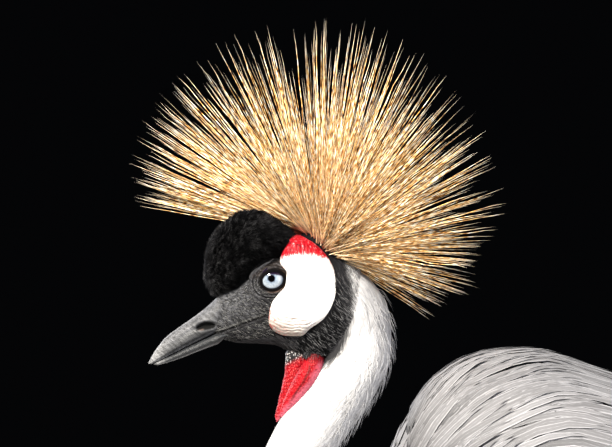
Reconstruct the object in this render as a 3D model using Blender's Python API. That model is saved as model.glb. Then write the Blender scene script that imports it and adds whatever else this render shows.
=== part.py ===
"""Grey crowned crane, a still, life-size model that stands on both feet with its neck drawn back.

Profile sizes are millimetres in the bird's middle plane, measured from the centre of the eye:
x runs back towards the tail, z runs up, and y runs to the bird's right. The bird faces -X.
"""
import math
import random

import bmesh
import bpy
import numpy as np
from mathutils import Matrix, Vector

MM = 0.001
EYE_X = -286.0 * MM       # puts the middle of the bird's length over the origin
EYE_HEIGHT = 600.0 * MM   # eye above the floor with the neck drawn back
CLEAR = 0.35              # how far a cutter stands off the piece that it clears
SIDES = {"left": -1, "right": 1}

# Colours are linear, and each material has a roughness.
FINISHES = {
    "crest_gold": ((0.62, 0.41, 0.16), 0.55),
    "velvet_black": ((0.006, 0.006, 0.007), 0.95),
    "face_grey": ((0.06, 0.06, 0.065), 0.8),
    "cheek_white": ((0.85, 0.82, 0.80), 0.6),
    "wattle_red": ((0.62, 0.02, 0.03), 0.5),
    "iris_pale": ((0.48, 0.56, 0.66), 0.1),
    "bill_slate": ((0.10, 0.105, 0.11), 0.45),
    "plumage_pale": ((0.62, 0.62, 0.62), 0.8),
    "plumage_grey": ((0.33, 0.34, 0.36), 0.8),
    "plumage_white": ((0.80, 0.79, 0.76), 0.8),
    "plumage_straw": ((0.66, 0.47, 0.20), 0.8),
    "plumage_maroon": ((0.11, 0.03, 0.02), 0.75),
    "plumage_black": ((0.02, 0.02, 0.022), 0.7),
    "leg_black": ((0.035, 0.035, 0.035), 0.6),
    "claw_horn": ((0.05, 0.045, 0.04), 0.4),
}

# Upright sections: x, top, bottom, half width.
TORSO = (
    (66, -160, -160, 0), (72, -124, -200, 27), (84, -95, -226, 45), (105, -68, -239, 62),
    (135, -53, -247, 75), (170, -51, -252, 83), (215, -65, -255, 86), (265, -84, -250, 83),
    (315, -105, -239, 73), (365, -126, -223, 58), (410, -145, -208, 41), (445, -160, -197, 25),
    (462, -178, -178, 0),
)
# The outer face that the folded wings lie on. It runs past the rump to the wing tips.
FLANK = (
    (84, -90, -226, 50), (105, -64, -240, 66), (135, -49, -248, 79), (170, -47, -253, 87),
    (215, -61, -257, 90), (265, -80, -253, 88), (315, -101, -245, 80), (365, -123, -240, 70),
    (415, -145, -240, 60), (465, -166, -248, 53), (515, -187, -260, 47), (565, -208, -272, 42),
    (615, -230, -284, 37), (660, -248, -294, 32),
)
HEAD = (
    (-42, -24, -24, 0), (-40, -13, -37, 8), (-31, -8.5, -39, 10), (-20, 0, -40, 12.5),
    (-8, 10, -40.5, 15.5), (6, 20, -42, 18), (20, 26, -46, 19.5), (34, 26, -50, 20),
    (46, 19, -48, 18.5), (56, 6, -40, 15), (62, -17, -17, 0),
)
VELVET = (
    (-45.5, 8, 8, 0), (-44, 19, -3, 7), (-40, 28.5, -9.5, 11), (-33, 37.5, -11.5, 14.5),
    (-24, 44, -7, 16.5), (-14, 46, 3, 17.5), (-4, 44, 10, 18), (5, 38.5, 15, 17.5),
    (12, 32.5, 21, 14.5), (17, 27, 27, 0),
)
BILL_UPPER = (
    (-81, -54.2, -54.2, 0), (-79.4, -50.6, -54.5, 1.3), (-75, -43.8, -52.7, 2.5),
    (-69, -36.7, -49.9, 3.9), (-60, -30, -45.2, 5.5), (-50, -23, -40.3, 7.1),
    (-42, -16.6, -36.4, 8.4), (-35, -10.5, -33, 9.4),
)
BILL_LOWER = (
    (-77.5, -54.8, -54.8, 0), (-75, -53.3, -55.2, 1.9), (-64, -47.9, -52.2, 3.9),
    (-52, -41.8, -47.7, 5.7), (-41, -36.6, -43.4, 7.4), (-34, -33.4, -41, 8.6),
)
# Sections square to the neck's own line, head to chest: x, z, half depth, half width.
NECK = (
    (36, 4, 13, 13), (50, -10, 18, 17), (57, -28, 20.5, 19), (56, -46, 21.5, 20),
    (49, -62, 22, 20.5), (38, -78, 22.5, 21), (27, -94, 22, 21), (17.5, -110, 21.5, 21),
    (8, -134, 22.5, 22), (2, -160, 24.5, 24), (4, -186, 28, 28), (18, -206, 33, 33),
    (42, -214, 38, 40), (70, -206, 42, 46), (96, -190, 44, 48),
)
NECK_CUTS = (0.50, 0.71)  # shares of the neck's length where upper, lower and base part
NECK_GAP = 0.0006         # half the gap between them, as a share
EYE = dict(width=9.0, depth=7.0, y=10.2)
SOCKET_GAP = 0.3          # the socket's clearance round the eyeball
LID_RADIUS = 7.2          # the ring of the lids round the eye
LID_THICK = 1.7
LID_OUT = 5.6             # how far outside the eyeball's centre the ring lies
BROW = ((-10, 4.5, 13.6, 1.2), (-5, 8.4, 15.2, 2.2), (1, 9.4, 15.6, 2.4), (6.5, 7.4, 15.8, 1.2))  # x, z, y, radius
MOUTH_SLOT = ((-46, -38.2), (-8, -24.2), (-8, -25.4), (-46, -39.4))
MOUTH_DEPTH = (5, 30)     # first and last y of the slot
NOSTRIL = dict(place=(-43.6, -30), y=8.2, radii=(6.4, 3.4, 2.4))
CHEEK_PAD = dict(place=(19, -6), y=11, radii=(33, 11.8, 41))
CHEEK_BAR = (4, 40)       # first and last y of the bar that trims the pad
CHEEK_RIM = 2.1           # how far the pad stays outside the lids' ring
CHEEK_OUTLINE = (
    (9.6, 22.0), (14.2, 29.6), (22, 27.5), (31.5, 20.5), (37, 12.6), (40.8, 2.9), (41.3, -7.3),
    (38.2, -18.7), (32.6, -25.8), (23.9, -30.9), (17, -36.2), (8, -35.8), (0.3, -32.5),
    (-2.8, -26.5), (-2.6, -20), (0, -13.5), (4.6, -9.6), (9.3, -3), (9.6, 5), (7, 12.5),
)
CREST_CENTRE = (31, 24)
CREST_CORE = 17.0
CREST_SQUASH = 0.86       # the core's half width over its radius
CREST_BRISTLE = (1.05, 0.85)   # radius at a bristle's root and half way
CREST_SPINES = 262        # on the whole ball; only those inside the crest's limits are kept
# Reach of the crest by direction in the profile: degrees above the tail side, millimetres.
CREST_REACH = ((-36, 84), (-14, 104), (11, 120), (40, 127), (86, 144), (127, 142), (156, 134), (170, 108))
# The lowest rise of a crest feather behind the shoulders: degrees from straight ahead, degrees of rise.
CREST_FLOOR = ((110, 6), (150, -27), (180, -36))
# The wattle's keel: x, z, half depth, half width, lean. Its folds: x, z, y, radius.
WATTLE_KEEL = (
    (17, -43, 10, 6, 60), (17, -54, 9.5, 6.5, 75), (14.5, -66, 8.5, 6, 80), (10, -77, 7, 5, 70),
    (5.5, -86, 4.6, 3.6, 60), (3.4, -91.5, 1.5, 1.4, 55),
)
WATTLE_FOLD = ((27, -45, 9, 5), (29, -55, 13, 7.5), (23, -66, 14, 7), (15, -77, 11, 5.5), (8, -86, 6, 2.5))
# Rows of neck feathers: share of the neck at root and tip, first turn, last turn, count.
LOWER_HACKLES = ((0.53, 0.63, 60, 300, 6), (0.60, 0.70, 60, 300, 7))
BASE_HACKLES = ((0.735, 0.86, 64, 296, 9), (0.79, 0.915, 68, 292, 9), (0.845, 0.955, 84, 276, 8))
# Rows of body feathers: x of the roots, length, count.
MANTLE_ROWS = ((103, 66, 6), (137, 72, 6), (174, 78, 7), (214, 82, 6), (256, 82, 6), (302, 80, 5), (350, 70, 4))
MANTLE_TURNS = (-36, 36)
BELLY_ROWS = ((112, 36, 4), (228, 76, 5), (280, 74, 4), (332, 66, 4))
BELLY_TURNS = (142, 218)
VANE_STATIONS = (0, 0.12, 0.52, 1)             # a short body feather, root to tip
FLIGHT_STATIONS = (0, 0.12, 0.38, 0.64, 0.86, 1)
WING_START = 96           # x of the leading edge of the folded wing
WING_END = 330            # x where the coverts' slab stops and the flight feathers begin
WING_TURNS = (43, 115)    # the slab's edges
WING_SINK = 14.0          # how far the slab reaches into the flank, before the body is cut away
# Tiers of coverts: x of the roots, length, first and last turn, count.
COVERT_ROWS = ((104, 66, 56, 108, 4), (144, 70, 52, 110, 5), (188, 72, 52, 110, 6), (234, 78, 82, 110, 3),
               (282, 80, 86, 112, 3))
COVERT_WIDTH = 19.0
COVERT_ROLL = 9
FLIGHT_ROOT = WING_END + 0.4
# Fans of long feathers. The bar they root in: first and last x, first and last turn, low and high lift.
# The plan: count, then root turn, tip turn and tip x of the first and of the last feather.
PRIMARIES = dict(slot="plumage_black", bar=(FLIGHT_ROOT, FLIGHT_ROOT + 14, 74, 112, -1.6, 3.7),
                 plan=(7, (80, 72, 654), (108, 112, 588)), width=14.0, lift=1.0, roll=20, sag=0.0)
SECONDARIES = dict(slot="plumage_maroon", bar=(FLIGHT_ROOT, FLIGHT_ROOT + 14, 43, 108, 4.1, 8.8),
                   plan=(9, (48, 26, 606), (104, 112, 540)), width=17.0, lift=6.6, roll=20, sag=8.0)
PLUMES = dict(slot="plumage_straw", bar=(290, 322, 46, 78, 9.8, 12.6),
              plan=(7, (50, 36, 520), (75, 94, 470)), width=9.5, lift=11.4, roll=14, sag=0.0)
TAIL_VANES = 8
TAIL_ROOT = (450, -181)
TAIL_ROOT_RADII = (20, 16, 9)
TAIL_WIDTHS = (9, 15, 17, 15, 9)
LEG_Y = 50.0
HIP_Y = 46.0
HIP = (182, -205)
CUFF = (207, -322)        # where the thigh's feathers end
ANKLE = (226, -378)
SOLE = (198, -589)        # where the toes meet the tarsus
# Share of the way down and radius.
THIGH = ((0, 30), (0.28, 30), (0.52, 25), (0.78, 16), (1, 9))
SHANK = ((0.015, 6.4), (0.4, 5.4), (0.85, 6.8))
TARSUS = ((0.0335, 7.8), (0.1, 5.3), (0.5, 4.6), (0.9, 4.9), (0.965, 6.4))
KNUCKLE = (10.5, 8.2, 13.5)
FOOT_PAD = (11.5, 9.5, 8.6)
FOOT_PAD_RISE = 8.0
TOES = (  # name, yaw from straight ahead towards the outer side, length, radius
    ("middle", 3, 84, 5.2), ("outer", 38, 64, 4.7), ("inner", -32, 58, 4.7), ("hind", 172, 36, 4.2),
)
TOE_STATIONS = 4
CLAW_LINE = ((0, 0), (6, 0.05), (11, -0.45), (14, -0.93))   # along the claw, and rise over its root's height
FLOOR = -EYE_HEIGHT / MM


def clear_scene():
    """Start from an empty file."""
    for old in list(bpy.data.objects):
        bpy.data.objects.remove(old)


def new_collection(name):
    """Link a named collection to the scene."""
    made = bpy.data.collections.new(name)
    bpy.context.scene.collection.children.link(made)
    return made


clear_scene()
CRANE = new_collection("grey_crowned_crane")
CUTTERS = new_collection("cutters")


def at(x, z, y=0.0):
    """World point of a place measured in millimetres from the eye."""
    return Vector((EYE_X + x * MM, y * MM, EYE_HEIGHT + z * MM))


def finish(slot):
    """The Principled material of a slot, made once."""
    found = bpy.data.materials.get(slot)
    if found:
        return found
    colour, roughness = FINISHES[slot]
    made = bpy.data.materials.new(slot)
    made.use_nodes = True
    shader = made.node_tree.nodes["Principled BSDF"]
    shader.inputs["Base Color"].default_value = (*colour, 1.0)
    shader.inputs["Roughness"].default_value = roughness
    shader.inputs["Metallic"].default_value = 0.0
    return made


def add_object(name, mesh, slot=None, helper=False):
    """Link a mesh as a part, or as a hidden helper that cuts or joins."""
    made = bpy.data.objects.new(name, mesh)
    if helper:
        CUTTERS.objects.link(made)
        made.hide_render = True
        made.display_type = "WIRE"
        return made
    CRANE.objects.link(made)
    mesh.materials.clear()
    mesh.materials.append(finish(slot))
    mesh.shade_smooth()
    mesh.set_sharp_from_angle(angle=math.radians(40))
    return made


def mesh_of(points, faces, name="shape"):
    """A mesh whose faces point out."""
    mesh = bpy.data.meshes.new(name)
    mesh.from_pydata([tuple(p) for p in points], [], faces)
    bm = bmesh.new()
    bm.from_mesh(mesh)
    bmesh.ops.recalc_face_normals(bm, faces=bm.faces)
    if bm.calc_volume(signed=True) < 0:
        bmesh.ops.reverse_faces(bm, faces=bm.faces)
    bm.to_mesh(mesh)
    bm.free()
    return mesh


def smooth(rows, share):
    """Row at a share of the way through a table, on cubics that never overshoot."""
    rows = np.asarray(rows, float)
    last = len(rows) - 1
    place = min(max(share, 0.0), 1.0) * last
    i = min(int(place), last - 1)
    step = np.diff(rows, axis=0)
    slope = np.zeros_like(rows)
    slope[1:-1] = np.where(step[1:] * step[:-1] > 0,
                           2 * step[1:] * step[:-1] / (step[1:] + step[:-1] + 1e-12), 0)
    slope[0], slope[-1] = step[0], step[-1]
    t = place - i
    return ((2 * t ** 3 - 3 * t ** 2 + 1) * rows[i] + (t ** 3 - 2 * t ** 2 + t) * slope[i]
            + (3 * t ** 2 - 2 * t ** 3) * rows[i + 1] + (t ** 3 - t ** 2) * slope[i + 1])


class Skin:
    """A round form swept along the bird's middle plane. Turn 0 is the back, 90 the left, 180 the belly."""

    def __init__(self, rows):
        """Rows hold x, z, half depth, half width and the lean of the section in degrees."""
        self.rows = np.array(rows, float)
        shares = np.linspace(0, 1, 200)
        self.table = shares, np.array([smooth(self.rows, s)[0] for s in shares])

    @classmethod
    def upright(cls, rows):
        """From sections of x, top, bottom and half width."""
        return cls([(x, (top + low) / 2, (top - low) / 2, half, 0) for x, top, low, half in rows])

    @classmethod
    def along(cls, rows):
        """From sections square to the line through their own centres."""
        centres = np.array([row[:2] for row in rows], float)
        run = np.gradient(centres, axis=0)
        lean = np.degrees(np.arctan2(-run[:, 1], run[:, 0]))
        return cls([(*row, angle) for row, angle in zip(rows, lean)])

    def share(self, x):
        """Share of the way along at which the section stands at x."""
        return float(np.interp(x, self.table[1], self.table[0]))

    def point(self, share, turn, lift=0.0):
        """World point on the form, or lifted off it by so many millimetres."""
        x, z, depth, width, lean = smooth(self.rows, share)
        up = Vector((math.sin(math.radians(lean)), 0, math.cos(math.radians(lean))))
        turn = math.radians(turn)
        out = up * (max(depth, 0) + lift) * math.cos(turn)
        out.y -= (max(width, 0) + lift) * math.sin(turn)
        return at(x, z) + out * MM

    def normal(self, share, turn):
        """Outward direction of the form at a place."""
        along = self.point(min(share + 0.004, 1), turn) - self.point(max(share - 0.004, 0), turn)
        around = self.point(share, turn + 1) - self.point(share, turn - 1)
        out = around.cross(along)
        centre = (self.point(share, 0) + self.point(share, 180)) / 2
        if out.dot(self.point(share, turn) - centre) < 0:
            out.negate()
        return out.normalized()


def lofted(skin, rings, sides, start=0.0, end=1.0, lift=0.0):
    """Closed mesh of a stretch of a skin, with a pole where the section closes and a flat cap elsewhere."""
    points, faces = [], []
    shares = np.linspace(start, end, rings)
    for share in shares:
        points += [skin.point(share, 360 * k / sides, lift) for k in range(sides)]
    for first, step in ((0, -lift), (len(points) - sides, lift)):
        for k in range(first, first + sides):
            points[k].x += step * MM
    for r in range(rings - 1):
        for k in range(sides):
            a, b = r * sides + k, r * sides + (k + 1) % sides
            faces += [(a, b, b + sides), (a, b + sides, a + sides)]
    faces.append(tuple(range(sides)))
    faces.append(tuple(range((rings - 1) * sides, rings * sides)))
    mesh = mesh_of(points, faces)
    bm = bmesh.new()
    bm.from_mesh(mesh)
    bmesh.ops.remove_doubles(bm, verts=bm.verts, dist=0.05 * MM)
    bmesh.ops.triangulate(bm, faces=[f for f in bm.faces if len(f.verts) > 4])
    bm.to_mesh(mesh)
    bm.free()
    return mesh


def pointed(sections, tip):
    """Closed mesh through rings of points that ends in a tip. Both faces of a flat ring split alike."""
    sides = len(sections[0])
    points = [corner for section in sections for corner in section] + [tip]
    last = len(points) - 1
    faces = [tuple(range(sides))]
    for i in range(len(sections) - 1):
        for k in range(sides):
            a, b = i * sides + k, i * sides + (k + 1) % sides
            if k == 1:
                faces += [(a, b, a + sides), (b, b + sides, a + sides)]
            else:
                faces += [(a, b, b + sides), (a, b + sides, a + sides)]
    faces += [(last - sides + k, last - sides + (k + 1) % sides, last) for k in range(sides)]
    return mesh_of(points, faces)


def blade(points, widths, thick, ups):
    """A tapered vane, flat below and with a raised shaft above, ending in a tip."""
    sections = []
    for i in range(len(points) - 1):
        along = (points[i + 1] - points[max(i - 1, 0)]).normalized()
        side = along.cross(ups[i]).normalized()
        up = side.cross(along).normalized()
        half = widths[i] / 2 * MM
        sections.append((points[i] + side * half, points[i] + up * thick * MM, points[i] - side * half))
    return pointed(sections, points[-1])


def spike(points, radii, sides=3):
    """A tapered bristle or claw through the given points, ending in a tip."""
    sections = []
    for i in range(len(points) - 1):
        along = (points[i + 1] - points[max(i - 1, 0)]).normalized()
        side = along.cross(Vector((0.13, 0.21, 0.97))).normalized()
        up = along.cross(side)
        turns = [2 * math.pi * k / sides for k in range(sides)]
        sections.append([points[i] + (side * math.cos(t) + up * math.sin(t)) * radii[i] * MM for t in turns])
    return pointed(sections, points[-1])


def laid_vane(skin, root, tip, width, lifts, thick=1.2, stations=VANE_STATIONS, sag=0.0, roll=0.0):
    """A feather laid on a skin, tapered to its root and its tip.

    Root and tip are each a share and a turn. Lifts hold the depth of the sunk root, the lift just
    past it and the lift of the tip, in millimetres. Roll tips the vane so that it shingles.
    """
    points, widths, ups = [], [], []
    for t in stations:
        share = root[0] + (tip[0] - root[0]) * t
        turn = root[1] + (tip[1] - root[1]) * t
        free = (t - stations[1]) / (1 - stations[1])
        lift = lifts[0] if t == 0 else lifts[1] + (lifts[2] - lifts[1]) * free
        out = skin.normal(share, turn)
        points.append(skin.point(share, turn) + (out * lift - Vector((0, 0, sag * t * t))) * MM)
        swell = 0.5 + 0.5 * math.sin(math.pi / 2 * min(t / 0.5, 1.0)) - 0.45 * max(t - 0.6, 0) / 0.4
        widths.append(width * (0.4 if t < 0.02 else swell))
        ups.append(out)
    along = (points[-1] - points[0]).normalized()
    tilt = Matrix.Rotation(math.radians(roll), 3, along)
    return blade(points, widths, thick, [tilt @ up for up in ups])


def patch(skin, shares, turns, low, high, steps):
    """A plate on a skin between two shares and two turns.

    Low and high give its lifts at (u, v), each 0 to 1. Steps are its cells along and around.
    """
    along, around = steps
    points, faces = [], []
    for lift in (low, high):
        for i in range(along + 1):
            for k in range(around + 1):
                u, v = i / along, k / around
                share = shares[0] + (shares[1] - shares[0]) * u
                turn = turns[0] + (turns[1] - turns[0]) * v
                out = skin.normal(share, turn)
                points.append(skin.point(share, turn) + out * lift(u, v) * MM)
    row, layer = around + 1, (along + 1) * (around + 1)
    for i in range(along):
        for k in range(around):
            a = i * row + k
            faces += [(a, a + 1, a + row + 1), (a, a + row + 1, a + row)]
            b = layer + a
            faces += [(b, b + row + 1, b + 1), (b, b + row, b + row + 1)]
    edge = [k for k in range(row)] + [i * row + around for i in range(1, along + 1)]
    edge += [along * row + k for k in range(around - 1, -1, -1)] + [i * row for i in range(along - 1, 0, -1)]
    for a, b in zip(edge, edge[1:] + edge[:1]):
        faces.append((a, b, layer + b, layer + a))
    return mesh_of(points, faces)


def evaluated_mesh(obj):
    """The mesh of an object with its modifiers applied."""
    graph = bpy.context.evaluated_depsgraph_get()
    return bpy.data.meshes.new_from_object(obj.evaluated_get(graph))


def keep_largest(mesh):
    """Drop every closed surface of a mesh but the largest."""
    bm = bmesh.new()
    bm.from_mesh(mesh)
    bm.faces.ensure_lookup_table()
    left, shells = set(bm.faces), []
    while left:
        shell, edge = set(), [next(iter(left))]
        while edge:
            face = edge.pop()
            if face in shell:
                continue
            shell.add(face)
            edge += [f for e in face.edges for f in e.link_faces if f not in shell]
        left -= shell
        shells.append(shell)
    shells.sort(key=lambda s: sum(f.calc_area() for f in s))
    spare = [f for shell in shells[:-1] for f in shell]
    if spare:
        bmesh.ops.delete(bm, geom=spare, context="FACES")
        loose = [v for v in bm.verts if not v.link_faces]
        bmesh.ops.delete(bm, geom=loose, context="VERTS")
    bm.to_mesh(mesh)
    bm.free()


def joined(base, pieces):
    """Union of a base mesh and the pieces rooted in it, as one mesh."""
    group = bpy.data.collections.new("pieces")
    bpy.context.scene.collection.children.link(group)
    for piece in pieces:
        group.objects.link(bpy.data.objects.new("piece", piece))
    body = add_object("body", base, helper=True)
    union = body.modifiers.new("union", "BOOLEAN")
    union.operation = "UNION"
    union.operand_type = "COLLECTION"
    union.collection = group
    union.solver = "MANIFOLD"
    mesh = evaluated_mesh(body)
    for piece in list(group.objects):
        bpy.data.objects.remove(piece)
    bpy.data.collections.remove(group)
    bpy.data.objects.remove(body)
    keep_largest(mesh)
    return mesh


def cut(base, cutters, operation="DIFFERENCE"):
    """A mesh with each cutter mesh taken away, or kept to what they share."""
    for cutter in cutters:
        body = add_object("body", base, helper=True)
        tool = add_object("tool", cutter, helper=True)
        step = body.modifiers.new("cut", "BOOLEAN")
        step.operation = operation
        step.object = tool
        step.solver = "MANIFOLD"
        base = evaluated_mesh(body)
        bpy.data.objects.remove(body)
        bpy.data.objects.remove(tool)
    keep_largest(base)
    return base


def moved(mesh, matrix):
    """A mesh put in place."""
    mesh.transform(matrix)
    return mesh


def ball(centre, radii, segments=16, rings=10):
    """An ellipsoid, radii in millimetres."""
    bm = bmesh.new()
    bmesh.ops.create_uvsphere(bm, u_segments=segments, v_segments=rings, radius=MM)
    mesh = bpy.data.meshes.new("ball")
    bm.to_mesh(mesh)
    bm.free()
    return moved(mesh, Matrix.Translation(centre) @ Matrix.Diagonal((*radii, 1)))


def drum(centre, axis, radius, depth, segments=20):
    """A round bar centred on a point, sizes in millimetres."""
    bm = bmesh.new()
    bmesh.ops.create_cone(bm, cap_ends=True, segments=segments, radius1=radius * MM,
                          radius2=radius * MM, depth=depth * MM)
    mesh = bpy.data.meshes.new("drum")
    bm.to_mesh(mesh)
    bm.free()
    turn = Vector(axis).to_track_quat("Z", "Y").to_matrix().to_4x4()
    return moved(mesh, Matrix.Translation(centre) @ turn)


def ring(centre, axis, radius, thick):
    """A torus, sizes in millimetres."""
    bpy.ops.mesh.primitive_torus_add(major_segments=14, minor_segments=4, major_radius=radius * MM,
                                     minor_radius=thick * MM)
    made = bpy.context.object
    mesh = made.data
    bpy.data.objects.remove(made)
    turn = Vector(axis).to_track_quat("Z", "Y").to_matrix().to_4x4()
    return moved(mesh, Matrix.Translation(centre) @ turn)


def prism(outline, low_y, high_y):
    """A bar across the bird with a profile outline, between two y in millimetres."""
    count = len(outline)
    points = [at(x, z, y) for y in (low_y, high_y) for x, z in outline]
    faces = [tuple(range(count)), tuple(range(count, 2 * count))]
    faces += [(k, (k + 1) % count, count + (k + 1) % count, count + k) for k in range(count)]
    return mesh_of(points, faces)


def tube(points, radii, sides=10):
    """A round limb through world points, with flat ends."""
    corners, faces = [], []
    for i, centre in enumerate(points):
        along = (points[min(i + 1, len(points) - 1)] - points[max(i - 1, 0)]).normalized()
        side = along.cross(Vector((0.0, 0.0, 1.0)))
        side = side.normalized() if side.length > 0.2 else along.cross(Vector((1.0, 0, 0))).normalized()
        up = side.cross(along).normalized()
        for k in range(sides):
            turn = 2 * math.pi * k / sides
            corners.append(centre + (side * math.cos(turn) + up * math.sin(turn)) * radii[i] * MM)
    for i in range(len(points) - 1):
        for k in range(sides):
            a, b = i * sides + k, i * sides + (k + 1) % sides
            faces += [(a, b, b + sides), (a, b + sides, a + sides)]
    faces += [tuple(range(sides)), tuple(range((len(points) - 1) * sides, len(points) * sides))]
    return mesh_of(corners, faces)


torso_skin = Skin.upright(TORSO)
flank_skin = Skin.upright(FLANK)
head_skin = Skin.upright(HEAD)
velvet_skin = Skin.upright(VELVET)
upper_skin = Skin.upright(BILL_UPPER)
lower_skin = Skin.upright(BILL_LOWER)
neck_skin = Skin.along(NECK)


def spread(rng, amount):
    """A seeded number between minus and plus an amount."""
    return rng.uniform(-amount, amount)


def eye_place(sign, extra=0.0):
    """World centre of an eye on the bird's left or right."""
    return at(0, 0, sign * (EYE["y"] + extra))


def make_eyes():
    """Two slightly flattened eyeballs."""
    for side, sign in SIDES.items():
        mesh = ball(eye_place(sign), (EYE["width"], EYE["depth"], EYE["width"]), 14, 8)
        add_object(f"eye_{side}", mesh, "iris_pale")


def mouth_slot():
    """The line of the mouth where it runs on from the bill into the face."""
    near, far = MOUTH_DEPTH
    return [prism(MOUTH_SLOT, *sorted((sign * near, sign * far))) for sign in SIDES.values()]


def face_forms(grow=0.0):
    """The ring of the lids and the brow ridge on each side, as they are or grown into cutters."""
    forms = []
    for sign in SIDES.values():
        forms.append(ring(eye_place(sign, LID_OUT), (0, 1, 0), LID_RADIUS, LID_THICK + grow))
        brow = [at(x, z, sign * y) for x, z, y, radius in BROW]
        forms.append(tube(brow, [radius + grow for x, z, y, radius in BROW], 5))
    return forms


def make_head():
    """Skull and face with lids, brow ridge and the line of the mouth."""
    mesh = joined(head_form(), face_forms())
    hollow = [size + SOCKET_GAP for size in (EYE["width"], EYE["depth"], EYE["width"])]
    sockets = [ball(eye_place(sign), hollow, 14, 8) for sign in SIDES.values()]
    add_object("head", cut(mesh, sockets + mouth_slot()), "face_grey")


def head_form(lift=0.0):
    """The plain form of the head."""
    return lofted(head_skin, 13, 14, lift=lift)


def head_clear():
    """Cutters that clear a piece from the head, its lids and its brow."""
    return [head_form(CLEAR)] + face_forms(CLEAR)


def make_bill():
    """Both halves of the bill, with the nostrils let into the upper one."""
    nostril = [ball(at(*NOSTRIL["place"], sign * NOSTRIL["y"]), NOSTRIL["radii"], 8, 5)
               for sign in SIDES.values()]
    upper = cut(bill_form(), nostril + [head_form(CLEAR)])
    add_object("bill_upper", upper, "bill_slate")
    lower = cut(lofted(lower_skin, 7, 10), [head_form(CLEAR)])
    add_object("bill_lower", lower, "bill_slate")


def bill_form(lift=0.0):
    """The plain form of the upper bill."""
    return lofted(upper_skin, 9, 10, lift=lift)


def velvet_form(lift=0.0):
    """The plain form of the forehead cushion."""
    return lofted(velvet_skin, 12, 16, lift=lift)


def make_velvet():
    """The cushion of short black feathers on the forehead."""
    add_object("forehead_velvet", cut(velvet_form(), head_clear() + [bill_form(CLEAR)]), "velvet_black")


def cheek_form(sign, grow=0.0):
    """A pad over the side of the face, within the outline of the bare patch."""
    radii = [radius + grow for radius in CHEEK_PAD["radii"]]
    pad = ball(at(*CHEEK_PAD["place"], sign * CHEEK_PAD["y"]), radii, 14, 10)
    bar = prism(CHEEK_OUTLINE, *sorted(sign * y for y in CHEEK_BAR))
    return cut(pad, [bar], "INTERSECT")


def make_cheeks():
    """The bare patch on each side of the face."""
    for side, sign in SIDES.items():
        lids = drum(eye_place(sign, 8), (0, 1, 0), LID_RADIUS + CHEEK_RIM, 30)
        clear = [head_form(CLEAR), lids, velvet_form(CLEAR)]
        add_object(f"cheek_{side}", cut(cheek_form(sign), clear), "cheek_white")


def crest_reach(angle):
    """How far the crest goes in a profile direction, in millimetres."""
    angles, reaches = zip(*CREST_REACH)
    return float(np.interp(angle, angles, reaches))


def crest_allows(way):
    """Whether a crest feather may point this way without crossing the brow, face or nape."""
    ahead = math.degrees(math.atan2(abs(way.y), -way.x))
    rise = math.degrees(math.asin(way.z))
    if ahead < 28:
        floor = 29
    elif ahead < 62:
        floor = 14 if way.y > 0 else 27
    elif ahead < 110:
        floor = 12
    else:
        floor = np.interp(ahead, *zip(*CREST_FLOOR))
    return rise > floor


def crest_ways(count, rng):
    """Directions spread evenly over the crest, as unit vectors."""
    golden = math.pi * (3 - math.sqrt(5))
    for i in range(count):
        z = 1 - 2 * (i + 0.5) / count
        flat = math.sqrt(1 - z * z)
        way = Vector((flat * math.cos(golden * i), flat * math.sin(golden * i), z))
        way += Vector([spread(rng, 0.035) for _ in range(3)])
        way.normalize()
        if crest_allows(way):
            yield way


def make_crest():
    """The crown: stiff bristle feathers that radiate from a small root behind the brow."""
    rng = random.Random(11)
    centre = at(*CREST_CENTRE)
    spikes = []
    for way in crest_ways(CREST_SPINES, rng):
        reach = crest_reach(math.degrees(math.atan2(way.z, way.x))) * rng.uniform(0.86, 1.0)
        bend = Vector((spread(rng, 4), spread(rng, 4), spread(rng, 4) - 1.5))
        points = [centre + (way * far + bend * (far / reach) ** 2) * MM for far in (9.0, 0.58 * reach, reach)]
        spikes.append(spike(points, CREST_BRISTLE))
    core = ball(centre, (CREST_CORE, CREST_CORE * CREST_SQUASH, CREST_CORE), 12, 8)
    mesh = joined(core, spikes)
    clear = head_clear() + [velvet_form(CLEAR), neck_form(0, 0.4, 0.5)]
    clear += [cheek_form(sign, 0.4) for sign in SIDES.values()]
    add_object("crest", cut(mesh, clear), "crest_gold")


def make_wattle():
    """The red throat skin: a hanging keel with a fold on each side of the neck."""
    folds = []
    for sign in SIDES.values():
        path = [at(x, z, sign * y) for x, z, y, radius in WATTLE_FOLD]
        folds.append(tube(path, [radius for x, z, y, radius in WATTLE_FOLD], 8))
    mesh = joined(lofted(Skin(WATTLE_KEEL), 8, 10), folds)
    add_object("wattle", cut(mesh, [head_form(CLEAR), neck_form(0, NECK_CUTS[0], 0.4)]), "wattle_red")


def neck_form(start, end, lift=0.0):
    """A stretch of the neck between two shares of its length."""
    return lofted(neck_skin, 3 + round(16 * (end - start)), 14, start, end, lift)


def hackles(skin, rows, rng, width, lifts, sag=0.0):
    """Rows of narrow feathers on a skin.

    A row holds the share at the roots, the share at the tips, the first turn, the last turn and the count.
    """
    made = []
    for number, (start, end, first, last, count) in enumerate(rows):
        for k in range(count):
            turn = first + (last - first) * (k + 0.5 * (number % 2)) / max(count - 0.5, 1)
            tip = end + spread(rng, 0.006)
            made.append(laid_vane(skin, (start, turn), (tip, turn + spread(rng, 1.5)),
                                  width * rng.uniform(0.9, 1.1), lifts, sag=sag))
    return made


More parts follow.
